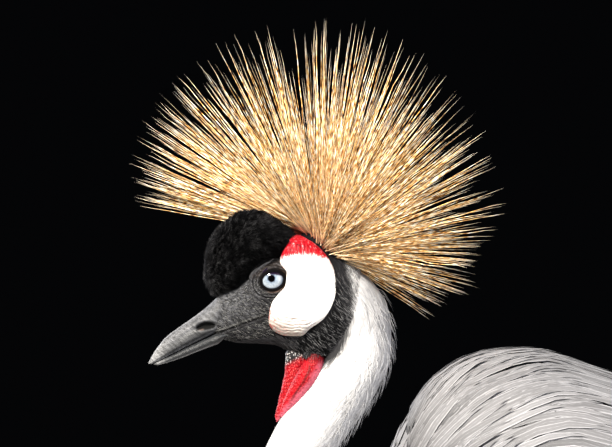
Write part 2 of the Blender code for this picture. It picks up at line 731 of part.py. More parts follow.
def make_neck():
    """Upper neck, lower neck and base. The base carries the long hackles that droop over the chest."""
    first, second = NECK_CUTS
    upper = neck_form(0.0, first - NECK_GAP)
    add_object("neck_upper", cut(upper, head_clear()), "plumage_pale")
    rng = random.Random(5)
    lower = joined(neck_form(first + NECK_GAP, second - NECK_GAP),
                   hackles(neck_skin, LOWER_HACKLES, rng, 12.0, (-4.0, 0.6, 4.4)))
    add_object("neck_lower", lower, "plumage_pale")
    base = joined(neck_form(second + NECK_GAP, 1.0),
                  hackles(neck_skin, BASE_HACKLES, rng, 13.0, (-4.0, 0.6, 6.4), sag=3.0))
    add_object("neck_base", cut(base, [torso_form(CLEAR)]), "plumage_pale")


def torso_form(lift=0.0):
    """The plain form of the body."""
    return lofted(torso_skin, 16, 16, lift=lift)


def make_torso():
    """The body, with tiers of lance-shaped plumes over the mantle and down the belly."""
    rng = random.Random(7)
    share = torso_skin.share
    mantle = [(share(x), share(x + reach), *MANTLE_TURNS, count) for x, reach, count in MANTLE_ROWS]
    belly = [(share(x), share(x + reach), *BELLY_TURNS, count) for x, reach, count in BELLY_ROWS]
    plumes = hackles(torso_skin, mantle, rng, 13.0, (-4.0, 0.6, 5.0))
    plumes += hackles(torso_skin, belly, rng, 18.0, (-4.0, 0.6, 4.4))
    add_object("torso", joined(torso_form(), plumes), "plumage_grey")


def mirrored_turns(sign, *turns):
    """Turns given for the left side, put on the side asked for."""
    return [turn if sign < 0 else -turn for turn in turns]


def slab_lift(x):
    """Lift of the coverts' outer face above the flank, from a thin leading edge to the full depth."""
    return 1.2 + 7.8 * min(1.0, 2.2 * (x - WING_START) / (WING_END - WING_START))


def make_coverts(side, sign):
    """The white shoulder of a folded wing: a slab with tiers of broad feathers."""
    share = flank_skin.share
    rng = random.Random(21)

    def outer(u, v):
        """Lift at a share of the slab's length and girth, lower towards its long edges."""
        edge = 1 - (2 * v - 1) ** 6
        return slab_lift(WING_START + u * (WING_END - WING_START)) * (0.55 + 0.45 * edge)

    slab = patch(flank_skin, (share(WING_START), share(WING_END)), mirrored_turns(sign, *WING_TURNS),
                 lambda u, v: -WING_SINK, outer, (6, 6))
    vanes = []
    for x, reach, low, high, count in COVERT_ROWS:
        for k in range(count):
            turn = low + (high - low) * (k + rng.uniform(0.35, 0.65)) / count
            start, end = mirrored_turns(sign, turn, turn + 3 + spread(rng, 1.0))
            base, later = slab_lift(x), slab_lift(x + reach)
            lifts = (base - 4.0, base + 1.0, later + 4.8)
            vanes.append(laid_vane(flank_skin, (share(x), start), (share(x + reach), end), COVERT_WIDTH, lifts,
                                   roll=-COVERT_ROLL * sign))
    mesh = joined(cut(slab, [torso_form(CLEAR)]), vanes)
    add_object(f"wing_{side}_coverts", mesh, "plumage_white")


def make_flight(name, sign, slot, bar, plan, width, lift, roll, sag):
    """A fan of long feathers shingled over one another, rooted in a bar across the flank."""
    share = flank_skin.share
    first_x, last_x, first_turn, last_turn, low, high = bar
    block = patch(flank_skin, (share(first_x), share(last_x)), mirrored_turns(sign, first_turn, last_turn),
                  lambda u, v: low, lambda u, v: high, (1, 6))
    count, (root_a, tip_a, reach_a), (root_b, tip_b, reach_b) = plan
    rng = random.Random(count)
    vanes = []
    for k in range(count):
        t = k / (count - 1)
        start, end = mirrored_turns(sign, root_a + (root_b - root_a) * t, tip_a + (tip_b - tip_a) * t)
        reach = reach_a + (reach_b - reach_a) * t + spread(rng, 3)
        root = (share((first_x + last_x) / 2 + 2), start)
        vanes.append(laid_vane(flank_skin, root, (share(reach), end), width, (lift, lift, lift), 1.1,
                               FLIGHT_STATIONS, sag * t, -roll * sign))
    add_object(name, joined(block, vanes), slot)


def make_wing(side, sign):
    """A folded wing: white coverts, straw plumes, maroon secondaries and black primaries."""
    make_coverts(side, sign)
    make_flight(f"wing_{side}_primaries", sign, **PRIMARIES)
    make_flight(f"wing_{side}_secondaries", sign, **SECONDARIES)
    make_flight(f"wing_{side}_plumes", sign, **PLUMES)


def make_tail():
    """Black tail feathers, folded one over another, from a root in the rump."""
    root = ball(at(*TAIL_ROOT), TAIL_ROOT_RADII, 12, 8)
    vanes = []
    for k in range(TAIL_VANES):
        middle = (TAIL_VANES - 1) / 2
        across = (k - middle) / middle
        level = 1.8 * (middle - abs(k - middle)) + 0.4 * (k % 2)
        run = [at(448 + 46 * i, -182 - 10 * i - 2.0 * i * i + level * min(i, 1), across * (7 + 3.8 * i))
               for i in range(5)]
        vanes.append(blade(run, TAIL_WIDTHS, 1.3, [Vector((0, 0, 1))] * len(run)))
    add_object("tail", cut(joined(root, vanes), [torso_form(CLEAR)]), "plumage_black")


def between(first, last, share, y):
    """World point a share of the way from one profile place to another."""
    return at(first[0] + (last[0] - first[0]) * share, first[1] + (last[1] - first[1]) * share, y)


def straight(first, last, stations, y, sides):
    """A round limb between two joints, from stations of share of the way and radius."""
    return tube([between(first, last, share, y) for share, radius in stations],
                [radius for share, radius in stations], sides)


def make_toe(origin, sign, yaw, length, radius):
    """A toe with swollen joints that leaves the foot's origin, and its claw."""
    turn = math.radians(yaw)
    way = Vector((-math.cos(turn), sign * math.sin(turn), 0))
    points, radii = [], []
    for i in range(TOE_STATIONS + 1):
        t = i / TOE_STATIONS
        points.append(origin + (way * length * t + Vector((0, 0, radius * (1.08 - 0.3 * t)))) * MM)
        radii.append(radius * (1 - 0.32 * t) * (1.08 if i % 2 == 0 else 0.92))
    root = points[-1] + way * 0.3 * MM
    height = root.z / MM
    nail = [root + (way * far + Vector((0, 0, height * rise))) * MM for far, rise in CLAW_LINE]
    return tube(points, radii, 6), spike(nail, (radius * 0.55, radius * 0.5, radius * 0.3), 5)


def make_leg(side, sign):
    """Thigh, bare shank, tarsus and foot of one leg, with a claw on each toe."""
    y, hip_y = sign * LEG_Y, sign * HIP_Y
    path = [between(HIP, CUFF, share, hip_y + (y - hip_y) * share) for share, radius in THIGH]
    thigh = tube(path, [radius for share, radius in THIGH], 14)
    add_object(f"thigh_{side}", cut(thigh, [torso_form(CLEAR)]), "plumage_grey")

    limb = straight(CUFF, ANKLE, SHANK, y, 10)
    knuckle = ball(at(*ANKLE, y), KNUCKLE, 12, 8)
    below = straight(ANKLE, SOLE, ((0.032, 16), (0.2, 16)), y, 12)
    shank = cut(joined(limb, [knuckle]), [thigh_end(y), below])
    add_object(f"shank_{side}", shank, "leg_black")
    add_object(f"tarsus_{side}", straight(ANKLE, SOLE, TARSUS, y, 10), "leg_black")

    origin = at(SOLE[0], FLOOR, y)
    pad = ball(origin + Vector((0, 0, FOOT_PAD_RISE * MM)), FOOT_PAD, 10, 6)
    toes = {name: make_toe(origin, sign, yaw, length, radius) for name, yaw, length, radius in TOES}
    ground = prism(((SOLE[0] - 120, FLOOR), (SOLE[0] + 90, FLOOR), (SOLE[0] + 90, FLOOR - 20),
                    (SOLE[0] - 120, FLOOR - 20)), y - 90, y + 90)
    shin = straight(ANKLE, SOLE, ((0.8, 9), (0.9665, 9)), y, 12)
    foot = cut(joined(pad, [limb for limb, claw in toes.values()]), [ground, shin])
    add_object(f"foot_{side}", foot, "leg_black")
    for name, (limb, claw) in toes.items():
        add_object(f"claw_{side}_{name}", claw, "claw_horn")


def thigh_end(y):
    """Cutter that squares the shank off just below the feathered thigh."""
    return straight(CUFF, ANKLE, ((-0.5, 16), (0.007, 16)), y, 12)


make_head()
make_eyes()
make_bill()
make_velvet()
make_cheeks()
make_crest()
make_wattle()
make_neck()
make_torso()
make_tail()
for side_name, side_sign in SIDES.items():
    make_wing(side_name, side_sign)
    make_leg(side_name, side_sign)
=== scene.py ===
"""Grey crowned crane: the dressed model, one skin with its coat of separate feathers.

Sizes are millimetres from the centre of the eye, as in the solids: x runs back to the tail,
z runs up, y runs to the bird's right. The bird faces -X.
"""
import logging
import math
from dataclasses import dataclass, field, replace
from enum import Enum
from functools import partial
from typing import Callable, Optional, Sequence

import bmesh
import bpy
import numpy as np
from bpy.types import ID, Material, Mesh, Node, NodeSocket, NodeTree, Object
from mathutils import Matrix, Vector

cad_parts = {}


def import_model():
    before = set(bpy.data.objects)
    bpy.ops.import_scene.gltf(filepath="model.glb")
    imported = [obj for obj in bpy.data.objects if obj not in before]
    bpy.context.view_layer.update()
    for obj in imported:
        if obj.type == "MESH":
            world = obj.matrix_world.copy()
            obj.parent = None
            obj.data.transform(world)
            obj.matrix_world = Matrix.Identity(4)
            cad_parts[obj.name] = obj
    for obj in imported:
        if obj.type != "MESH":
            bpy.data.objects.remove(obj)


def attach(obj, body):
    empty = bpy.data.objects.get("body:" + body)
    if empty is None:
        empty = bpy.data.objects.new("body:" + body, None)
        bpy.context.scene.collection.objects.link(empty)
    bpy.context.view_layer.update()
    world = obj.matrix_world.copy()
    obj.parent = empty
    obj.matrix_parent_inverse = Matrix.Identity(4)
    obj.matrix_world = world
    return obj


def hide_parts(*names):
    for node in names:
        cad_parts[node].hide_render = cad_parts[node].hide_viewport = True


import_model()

Array = np.ndarray
Rule = Callable[[Array, Array], Array]           # of points in millimetres and of turns, a value for each
Keep = Callable[[Array, Array, Array], Array]    # of points, shares and turns, which stay
Adder = Callable[..., Node]                      # add_node on one material's tree
Draw = np.random.Generator                       # a seeded draw
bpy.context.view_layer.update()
LOG = logging.getLogger("crane")
MM = 0.001
EYE = np.array([-0.286, 0.0, 0.600])     # the eye's place in the middle plane, metres
FLOOR_Z = -600.0
ABOVE_FLOOR = 0.0002                     # gap under the toes, metres
PATCH = 0.003                            # size of one feather's patch on the bake map
TINY = 1e-12                             # keeps a division from zero
CRANE_BODY = "root"

# The fold behind the keel: x, z, y, radius.
FOLD = (
    (28.5, -38, 0.5, 2.6), (29, -46, 3.4, 3.8), (27, -53, 8.4, 6.2), (21.5, -63, 10.5, 6.6), (14.8, -73.5, 9, 5.4),
    (8.5, -83, 5.5, 3.2), (5.5, -88.5, 3, 1.2),
)
CHEEK_OUTLINE = (
    (6.8, 21.5), (11.8, 29.9), (21, 28.4), (31.5, 20.0), (37.3, 12.2), (40.6, 2.8), (41.2, -7.5),
    (38.8, -16.8), (32.6, -25.4), (24.4, -31.2), (17.6, -36.4), (8, -36), (0.6, -32.8),
    (-2.8, -27), (-2.4, -21), (-0.4, -14.3), (3.4, -9.2), (8.2, -3), (8.9, 4.5), (4.6, 12),
)
MOUTH_X, MOUTH_Z, MOUTH_RISE = -46, -38.2, 0.368     # where the line of the mouth starts, and its slope
CREST_CENTRE = (31, 24)
CREST_REACH = ((-36, 84), (-14, 105), (11, 121), (40, 129), (86, 149), (127, 147), (156, 143), (170, 132))
LEG_Y = 50.0
HIP, CUFF, ANKLE, SOLE = (182, -205), (207, -322), (226, -378), (198, -589)
TOES = (("middle", 3, 84, 5.2), ("outer", 38, 64, 4.7), ("inner", -32, 58, 4.7), ("hind", 172, 36, 4.2))
CLAW_LINE = ((0, 0), (6, 0.05), (11, -0.45), (14, -0.93))
SCUTE = 4.2                # spacing of the plates on the legs
QUILL = 0.9                # ridge of a wing or tail feather
EYE_OUT = 10.2             # of the eyeball's centre from the middle plane
EYE_RADII = (9.0, 7.0, 9.0)    # along x, y and z

# Plumage and skin colours as the eye sees them.
INK = "#08080A"            # velvet and the feathers round the face
SOOT = "#232326"
NAPE_GREY = "#8C8D92"
NECK_WHITE = "#DEDEE0"
BODY_PALE = "#838387"
BODY_GREY = "#6E7178"
RUMP_GREY = "#85888F"
FLIGHT_BLACK = "#17171A"
SKIN_GREY = "#3A3A3D"


class Side(Enum):
    """The bird's own left and right."""

    LEFT = -1
    RIGHT = 1

    @property
    def label(self) -> str:
        """Its name as pieces carry it."""
        return self.name.lower()


def linear(code: str) -> tuple[float, float, float, float]:
    """Turn an sRGB hex colour to linear light.

    Args:
        code: the colour as #RRGGBB.

    Returns:
        Red, green, blue and alpha.
    """
    parts = [int(code[i:i + 2], 16) / 255 for i in (1, 3, 5)]
    light = [p / 12.92 if p <= 0.04045 else ((p + 0.055) / 1.055) ** 2.4 for p in parts]
    return (*light, 1.0)


def ease(values: Array, low: float, high: float) -> Array:
    """Ease values from 0 at low to 1 at high.

    Args:
        values: any numbers.
        low: where the rise starts.
        high: where it ends.

    Returns:
        The eased share of each value.
    """
    t = np.clip((values - low) / (high - low), 0, 1)
    return t * t * (3 - 2 * t)


def grain(points: Array, size: float, seed: int = 0) -> Array:
    """Smooth lattice noise.

    Args:
        points: places, millimetres.
        size: width of one blob, millimetres.
        seed: picks another pattern.

    Returns:
        A value from -1 to 1 for each place.
    """
    place = points / size + 37.0 * seed + 1000.0
    cell = np.floor(place).astype(np.int64)
    t = place - cell
    t = t * t * (3 - 2 * t)
    total = np.zeros(points.shape[:-1])
    for corner in range(8):
        step = np.array([corner & 1, corner >> 1 & 1, corner >> 2 & 1])
        key = (cell + step) @ np.array([73856093, 19349663, 83492791])
        key = (key ^ (key >> 13)) * 1274126177 & 0x7FFFFFFF
        weight = np.prod(np.where(step == 1, t, 1 - t), axis=-1)
        total += weight * ((key % 65536) / 32768.0 - 1)
    return total


def world(x: Array, z: Array, y: Array) -> Array:
    """World points, metres, of places in millimetres from the eye."""
    return EYE + np.stack(np.broadcast_arrays(x, y, z), axis=-1) * MM


def from_eye(points: Array) -> Array:
    """Millimetres from the eye of world points."""
    return (points - EYE) / MM


def add_object(name: str, data: Optional[ID]) -> Object:
    """A new object in the scene."""
    made = bpy.data.objects.new(name, data)
    bpy.context.scene.collection.objects.link(made)
    return made


def unit(vectors: Array, tiny: float = 0.0) -> Array:
    """Vectors brought to length 1. A tiny length keeps empty ones from a division by zero."""
    return vectors / (np.linalg.norm(vectors, axis=-1, keepdims=True) + tiny)


def bell(values: Array, middle: Array, width: float) -> Array:
    """A bell curve, 1 at its middle."""
    return np.exp(-((values - middle) / width) ** 2)


def cubic_table(rows: Sequence[Sequence[float]], count: int) -> Array:
    """Sample a table of sections on cubics that never overshoot.

    Args:
        rows: the sections.
        count: how many samples to take.

    Returns:
        One row for each sample.
    """
    data = np.asarray(rows, float)
    last = len(data) - 1
    place = np.linspace(0, last, count)
    i = np.minimum(place.astype(int), last - 1)
    step = np.diff(data, axis=0)
    slope = np.zeros_like(data)
    slope[1:-1] = np.where(step[1:] * step[:-1] > 0,
                           2 * step[1:] * step[:-1] / (step[1:] + step[:-1] + TINY), 0)
    slope[0], slope[-1] = step[0], step[-1]
    t = (place - i)[:, None]
    return ((2 * t ** 3 - 3 * t ** 2 + 1) * data[i] + (t ** 3 - 2 * t ** 2 + t) * slope[i]
            + (3 * t ** 2 - 2 * t ** 3) * data[i + 1] + (t ** 3 - t ** 2) * slope[i + 1])


@dataclass
class Form:
    """Points and faces of one mesh in the making, with values kept for each point."""

    points: Array
    faces: list[Array]
    tint: Optional[Array] = None
    values: dict[str, Array] = field(default_factory=dict)
    patch: Optional[Array] = None

    @classmethod
    def joined(cls, forms: Sequence["Form"]) -> "Form":
        """Put several forms of one kind into one.

        Args:
            forms: the forms, which keep the same values.

        Returns:
            The joined form.
        """
        start = np.cumsum([0] + [len(f.points) for f in forms])
        faces = [face + start[i] for i, f in enumerate(forms) for face in f.faces]
        names = forms[0].values
        return cls(
            np.concatenate([f.points for f in forms]), faces,
            np.concatenate([f.tint for f in forms]) if forms[0].tint is not None else None,
            {name: np.concatenate([f.values[name] for f in forms]) for name in names},
            np.concatenate([f.patch for f in forms]) if forms[0].patch is not None else None)

    def flipped(self) -> "Form":
        """The same form with its faces turned over."""
        return replace(self, faces=[face[:, ::-1] for face in self.faces])

    def mesh(self, name: str) -> Mesh:
        """Write the form out as a mesh.

        Args:
            name: name of the mesh.

        Returns:
            The mesh, shaded smooth.
        """
        made = bpy.data.meshes.new(name)
        sizes = np.concatenate([np.full(len(f), f.shape[1]) for f in self.faces])
        corners = np.concatenate([f.ravel() for f in self.faces]).astype(np.int32)
        made.vertices.add(len(self.points))
        made.vertices.foreach_set("co", self.points.astype(np.float32).ravel())
        made.loops.add(len(corners))
        made.loops.foreach_set("vertex_index", corners)
        made.polygons.add(len(sizes))
        made.polygons.foreach_set("loop_start", (np.cumsum(sizes) - sizes).astype(np.int32))
        made.polygons.foreach_set("loop_total", sizes.astype(np.int32))
        made.update(calc_edges=True)
        made.validate()
        made.shade_smooth()
        if "across" in self.values:
            self.crease_rims(made)
        if self.tint is not None:
            layer = made.attributes.new("tint", "FLOAT_COLOR", "POINT")
            rgba = np.concatenate([self.tint, np.ones((len(self.tint), 1))], axis=1)
            layer.data.foreach_set("color", rgba.astype(np.float32).ravel())
        for key, value in self.values.items():
            layer = made.attributes.new(key, "FLOAT", "POINT")
            layer.data.foreach_set("value", value.astype(np.float32).ravel())
        if self.patch is not None:
            layer = made.uv_layers.new(name="OFBake")
            layer.data.foreach_set("uv", self.patch[corners].astype(np.float32).ravel())
        return made

    def crease_rims(self, made: Mesh) -> None:
        """Keep each vane's upper face smooth up to its rims and tip, and apart from its underside.

        Args:
            made: the form's mesh.
        """
        pairs = np.empty(len(made.edges) * 2, np.int32)
        made.edges.foreach_get("vertices", pairs)
        ends = self.values["across"][pairs.reshape(-1, 2)]
        at_tip = (self.values["along"][pairs.reshape(-1, 2)] == 1.0).any(axis=1)
        on_rim = np.abs(ends) > 0.5
        sharp = (on_rim.all(axis=1) & (ends[:, 0] == ends[:, 1])) | (on_rim.any(axis=1) & at_tip)
        layer = made.attributes.get("sharp_edge") or made.attributes.new("sharp_edge", "BOOLEAN", "EDGE")
        layer.data.foreach_set("value", sharp)

    def piece(self, name: str, finish: "Finish", slot: str, *nodes: str) -> Object:
        """Make the form a piece of the model that rides on the crane.

        Args:
            name: name of the piece.
            finish: its finish.
            slot: the record's material slot, not used.
            nodes: CAD nodes that it stands for.

        Returns:
            The object.
        """
        made = add_object(name, self.mesh(name))
        made.data.materials.append(finish.material())
        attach(made, CRANE_BODY)
        if nodes:
            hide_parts(*nodes)
        LOG.info("%s: %d faces", name, len(made.data.polygons))
        return made


def lattice(points: Array, round_about: bool = True, ends: bool = True) -> Form:
    """Faces over rings of points.

    Args:
        points: ring by ring, in three dimensions.
        round_about: whether each ring closes.
        ends: whether both ends are capped.

    Returns:
        The form.
    """
    rings, sides = points.shape[:2]
    span = sides if round_about else sides - 1
    r, k = np.meshgrid(np.arange(rings - 1), np.arange(span), indexing="ij")
    nxt = (k + 1) % sides
    quads = np.stack([r * sides + k, r * sides + nxt, (r + 1) * sides + nxt, (r + 1) * sides + k], axis=-1)
    faces = [quads.reshape(-1, 4)]
    flat = points.reshape(-1, 3)
    if ends and round_about:
        hubs = np.stack([points[0].mean(axis=0), points[-1].mean(axis=0)])
        first = len(flat)
        flat = np.concatenate([flat, hubs])
        ring = np.arange(sides)
        following = (ring + 1) % sides
        base = (rings - 1) * sides
        faces.append(np.stack([following, ring, np.full(sides, first)], axis=-1))
        faces.append(np.stack([base + ring, base + following, np.full(sides, first + 1)], axis=-1))
    return Form(flat, faces)


class Sweep:
    """A round form swept along the bird's middle plane. Turn 0 is its back, 90 its left, 180 its belly."""

    SAMPLES = 600
    ENDS = (0.006, 0.994)      # a normal nearer to an end than this is taken here
    STEP = 0.004               # half the stretch of share that a direction is measured over
    CELLS = (240, 144)         # rows and columns that a scatter is weighed on

    def __init__(self, rows: Sequence[Sequence[float]]) -> None:
        """Keep a fine table of the sections: x, z, half depth, half width, lean in degrees."""
        self.table = cubic_table(rows, self.SAMPLES)
        self.shares = np.linspace(0, 1, self.SAMPLES)

    @classmethod
    def upright(cls, rows: Sequence[Sequence[float]]) -> "Sweep":
        """From sections of x, top, bottom and half width."""
        return cls([(x, (top + low) / 2, (top - low) / 2, half, 0) for x, top, low, half in rows])

    @classmethod
    def along(cls, rows: Sequence[Sequence[float]]) -> "Sweep":
        """From sections square to the line through their own centres."""
        centres = np.array([row[:2] for row in rows], float)
        run = np.gradient(centres, axis=0)
        lean = np.degrees(np.arctan2(-run[:, 1], run[:, 0]))
        return cls([(*row, angle) for row, angle in zip(rows, lean)])

    def share_at(self, x: Array) -> Array:
        """Share of the way along at which an upright section stands at x."""
        return np.interp(x, self.table[:, 0], self.shares)

    def point(self, share: Array, turn: Array, lift: Array = 0.0) -> Array:
        """World points on the form, or lifted off its sections.

        Args:
            share: share of the way along.
            turn: degrees round.
            lift: millimetres off the section.

        Returns:
            The points, metres.
        """
        share, turn, lift = np.broadcast_arrays(share, turn, lift)
        x, z, depth, width, lean = (np.interp(share, self.shares, column) for column in self.table.T)
        lean, turn = np.radians(lean), np.radians(turn)
        up = np.maximum(depth + lift, 0) * np.cos(turn)
        return world(x + up * np.sin(lean), z + up * np.cos(lean), -np.maximum(width + lift, 0) * np.sin(turn))

    def mm(self, share: Array, turn: Array) -> Array:
        """Places on the form in millimetres from the eye."""
        return from_eye(self.point(share, turn))

    def tangents(self, share: Array, turn: Array) -> tuple[Array, Array]:
        """How far the form runs over two steps of share, and over two degrees of turn."""
        return (self.point(share + self.STEP, turn) - self.point(share - self.STEP, turn),
                self.point(share, turn + 1) - self.point(share, turn - 1))

    def normal(self, share: Array, turn: Array) -> Array:
        """Outward directions of the form.

        Args:
            share: share of the way along.
            turn: degrees round.

        Returns:
            A unit vector for each place.
        """
        share = np.clip(share, *self.ENDS)
        run, around = self.tangents(share, turn)
        out = np.cross(around, run)
        centre = (self.point(share, np.zeros_like(turn)) + self.point(share, np.full_like(turn, 180.0))) / 2
        side = np.sign(np.sum(out * (self.point(share, turn) - centre), axis=-1, keepdims=True))
        return side * out / (np.linalg.norm(out, axis=-1, keepdims=True) + TINY)

    def scale(self, share: Array, turn: Array) -> tuple[Array, Array]:
        """Millimetres for each unit of share and for each degree of turn."""
        run, around = self.tangents(np.clip(share, *self.ENDS), turn)
        return (np.linalg.norm(run, axis=-1) / (2 * self.STEP) / MM + 1e-6,
                np.linalg.norm(around, axis=-1) / 2 / MM + 1e-6)

    def half_width(self, x: Array, z: Array) -> Array:
        """How far an upright form reaches to the side at a place in the profile, 0 where it doesn't."""
        share = self.share_at(x)
        middle, depth, width = (np.interp(share, self.shares, self.table[:, i]) for i in (1, 2, 3))
        return width * np.sqrt(np.clip(1 - ((z - middle) / np.maximum(depth, 0.01)) ** 2, 0, 1))

    def net(self, rings: int, sides: int, power: float = 1.0) -> tuple[Array, Array]:
        """Shares and turns of a net all over the form, closer at its start for a power above 1."""
        return (np.linspace(0, 1, rings) ** power)[:, None], np.linspace(0, 360, sides, endpoint=False)[None, :]

    def shell(self, rings: int, sides: int, lift: float) -> Form:
        """The form as a closed surface, lifted off its sections."""
        return lattice(self.point(*self.net(rings, sides), lift))

    def scatter(self, count: int, rng: Draw, keep: Keep) -> tuple[Array, Array]:
        """Places spread evenly by area.

        Args:
            count: how many to draw before the ones outside are dropped.
            rng: the seeded draw.
            keep: says of millimetre points, shares and turns which stay.

        Returns:
            Share and turn of each place.
        """
        rows, columns = self.CELLS
        cell = 360 / columns
        s = (np.arange(rows) + 0.5) / rows
        t = (np.arange(columns) + 0.5) * cell - 180
        share, turn = (a.ravel() for a in np.meshgrid(s, t, indexing="ij"))
        along, around = self.scale(share, turn)
        odds = along * around
        pick = rng.choice(len(odds), count, p=odds / odds.sum())
        share = share[pick] + rng.uniform(-0.5, 0.5, count) / rows
        turn = turn[pick] + rng.uniform(-cell / 2, cell / 2, count)
        stay = keep(self.mm(share, turn), share, turn)
        return share[stay], turn[stay]


# Upright sections, as in the solids: x, top, bottom, half width.
TORSO = Sweep.upright((
    (66, -160, -160, 0), (72, -124, -200, 27), (84, -95, -226, 45), (105, -68, -239, 62),
    (135, -53, -247, 75), (170, -51, -252, 83), (215, -65, -255, 86), (265, -84, -250, 83),
    (315, -105, -239, 73), (365, -126, -223, 58), (410, -145, -208, 41), (445, -160, -197, 25),
    (462, -178, -178, 0),
))
FLANK = Sweep.upright((
    (84, -90, -226, 50), (105, -64, -240, 66), (135, -49, -248, 79), (170, -47, -253, 87),
    (215, -61, -257, 90), (265, -80, -253, 88), (315, -101, -245, 80), (365, -123, -240, 70),
    (415, -145, -240, 60), (465, -166, -248, 53), (515, -187, -260, 47), (565, -208, -272, 42),
    (615, -230, -284, 37), (660, -248, -294, 32),
))
HEAD = Sweep.upright((
    (-42, -24, -24, 0), (-40, -13, -37, 8), (-31, -8.5, -39, 10), (-20, 0, -40, 12.5),
    (-8, 10, -40.5, 15.5), (6, 20, -42, 18), (20, 26, -46, 19.5), (34, 26, -50, 20),
    (46, 19, -48, 18.5), (56, 6, -40, 15), (62, -17, -17, 0),
))
VELVET = Sweep.upright((
    (-45.5, 8, 8, 0), (-44, 19, -3, 7), (-40, 28.5, -9.5, 11), (-33, 37.5, -11.5, 14.5),
    (-24, 44, -7, 16.5), (-14, 46, 3, 17.5), (-4, 44, 10, 18), (5, 38.5, 15, 17.5),
    (12, 32.5, 21, 14.5), (17, 27, 27, 0),
))
BILL_UPPER = Sweep.upright((
    (-81, -54.2, -54.2, 0), (-79.4, -50.6, -54.5, 1.3), (-75, -43.8, -52.7, 2.5),
    (-69, -36.7, -49.9, 3.9), (-60, -30, -45.2, 5.5), (-50, -23, -40.3, 7.1),
    (-42, -16.6, -36.4, 8.4), (-35, -10.5, -33, 9.4), (-28, -7, -30, 9.4),
))
BILL_LOWER = Sweep.upright((
    (-77.5, -54.8, -54.8, 0), (-75, -53.3, -55.2, 1.9), (-64, -47.9, -52.2, 3.9),
    (-52, -41.8, -47.7, 5.7), (-41, -36.6, -43.4, 7.4), (-34, -33.4, -41, 8.6),
    (-27, -30.5, -38.5, 9.0),
))
# Sections square to the neck's own line: x, z, half depth, half width.
NECK = Sweep.along((
    (36, 4, 13, 13), (50, -10, 18, 17), (57, -28, 20.5, 19), (56, -46, 21.5, 20),
    (49, -62, 22, 20.5), (38, -78, 22.5, 21), (27, -94, 22, 21), (17.5, -110, 21.5, 21),
    (8, -134, 22.5, 22), (2, -160, 24.5, 24), (4, -186, 28, 28), (18, -206, 33, 33),
    (42, -214, 38, 40), (70, -206, 42, 46), (96, -190, 44, 48),
))
# The throat wattle's keel: x, z, half depth, half width, lean.
KEEL = Sweep((
    (20, -37, 10, 5, 50), (17, -43, 10, 6, 60), (17, -54, 9.5, 6.5, 75), (14.5, -66, 8.5, 6, 80), (10, -77, 7, 5, 70),
    (5.5, -86, 4.6, 3.6, 60), (3.4, -91.5, 1.5, 1.4, 55),
))


def shade(code: str) -> Array:
    """A hex colour as a linear row."""
    return np.array(linear(code)[:3])


def plain(code: str, count: int) -> Array:
    """The same hex colour for each of a number of things."""
    return np.tile(shade(code), (count, 1))


def blend(base: Array, *layers: tuple[str, Array]) -> Array:
    """Lay hex colours over other colours.

    Args:
        base: the colours below.
        layers: the colour of each layer and its amount at each place, the lowest layer first.

    Returns:
        The mixed colours.
    """
    for code, amount in layers:
        base = base * (1 - amount[..., None]) + shade(code) * amount[..., None]
    return base


def above_mouth(x: Array, z: Array) -> Array:
    """Height above the line of the mouth."""
    return z - (MOUTH_Z + (x - MOUTH_X) * MOUTH_RISE)


def steady(value: float) -> Rule:
    """A rule that gives the same value everywhere."""
    return lambda at, around: np.full(around.shape, value)


def brow_line(x: Array) -> Array:
    """Height at which the black velvet ends and the bare face begins."""
    return np.interp(x, (-46, -37, -23, -18.7, -14.5, -8.8, -4.6, 1, 5, 17),
                     (-12.5, -10.9, -6.6, -3, 1.3, 6.2, 8.7, 10.9, 12.5, 22))


def markings(points: Array) -> Array:
    """The bird's colours, shared by the skin and its coat.

    Args:
        points: places, millimetres from the eye.

    Returns:
        A linear colour for each place.
    """
    x, y, z = points[..., 0], points[..., 1], points[..., 2]
    wander = grain(points, 5.0, 3) * 2.2
    nape = ease(z + wander, -48, -2) * ease(x, 44, 60)
    edge = np.interp(z, (-64, -57, -50, -47, -40, -25, -11, 3, 10, 20, 34),
                     (-40, 28, 38, 42, 48, 51, 51, 50, 48, 44, 42)) - x + wander
    dark = ease(edge, -2.0, 3.5) * ease(z, -62, -52)
    deep = ease(edge, 5, 11) * ease(z, -60, -50)
    face = ease(z, -42.5, -39.5) * ease(-x, -15, -11)
    shoulder = np.interp(z, (-195, -170, -145, -120, -90, -60, -40), (2, 24, 44, 58, 68, 82, 92))
    body = np.maximum(ease(-z, 150, 215), ease(x - shoulder + wander, -5, 8) * ease(-z, 36, 44))
    belly = ease(-z, 190, 245) * ease(x, 50, 110)
    colour = blend(np.broadcast_to(shade(NECK_WHITE), points.shape), (NAPE_GREY, nape * 0.75), (SOOT, dark),
                   (INK, deep * 0.85), (SKIN_GREY, face), (BODY_PALE, body), (BODY_GREY, belly * 0.8))
    black = VELVET.half_width(x, z) + 2.5 > np.abs(y)
    black |= np.abs(y) < HEAD.half_width(x, z) + 2.5
    black &= (x > -48) & (x < 17) & (z > brow_line(x))
    colour[black] = shade(INK)
    return colour


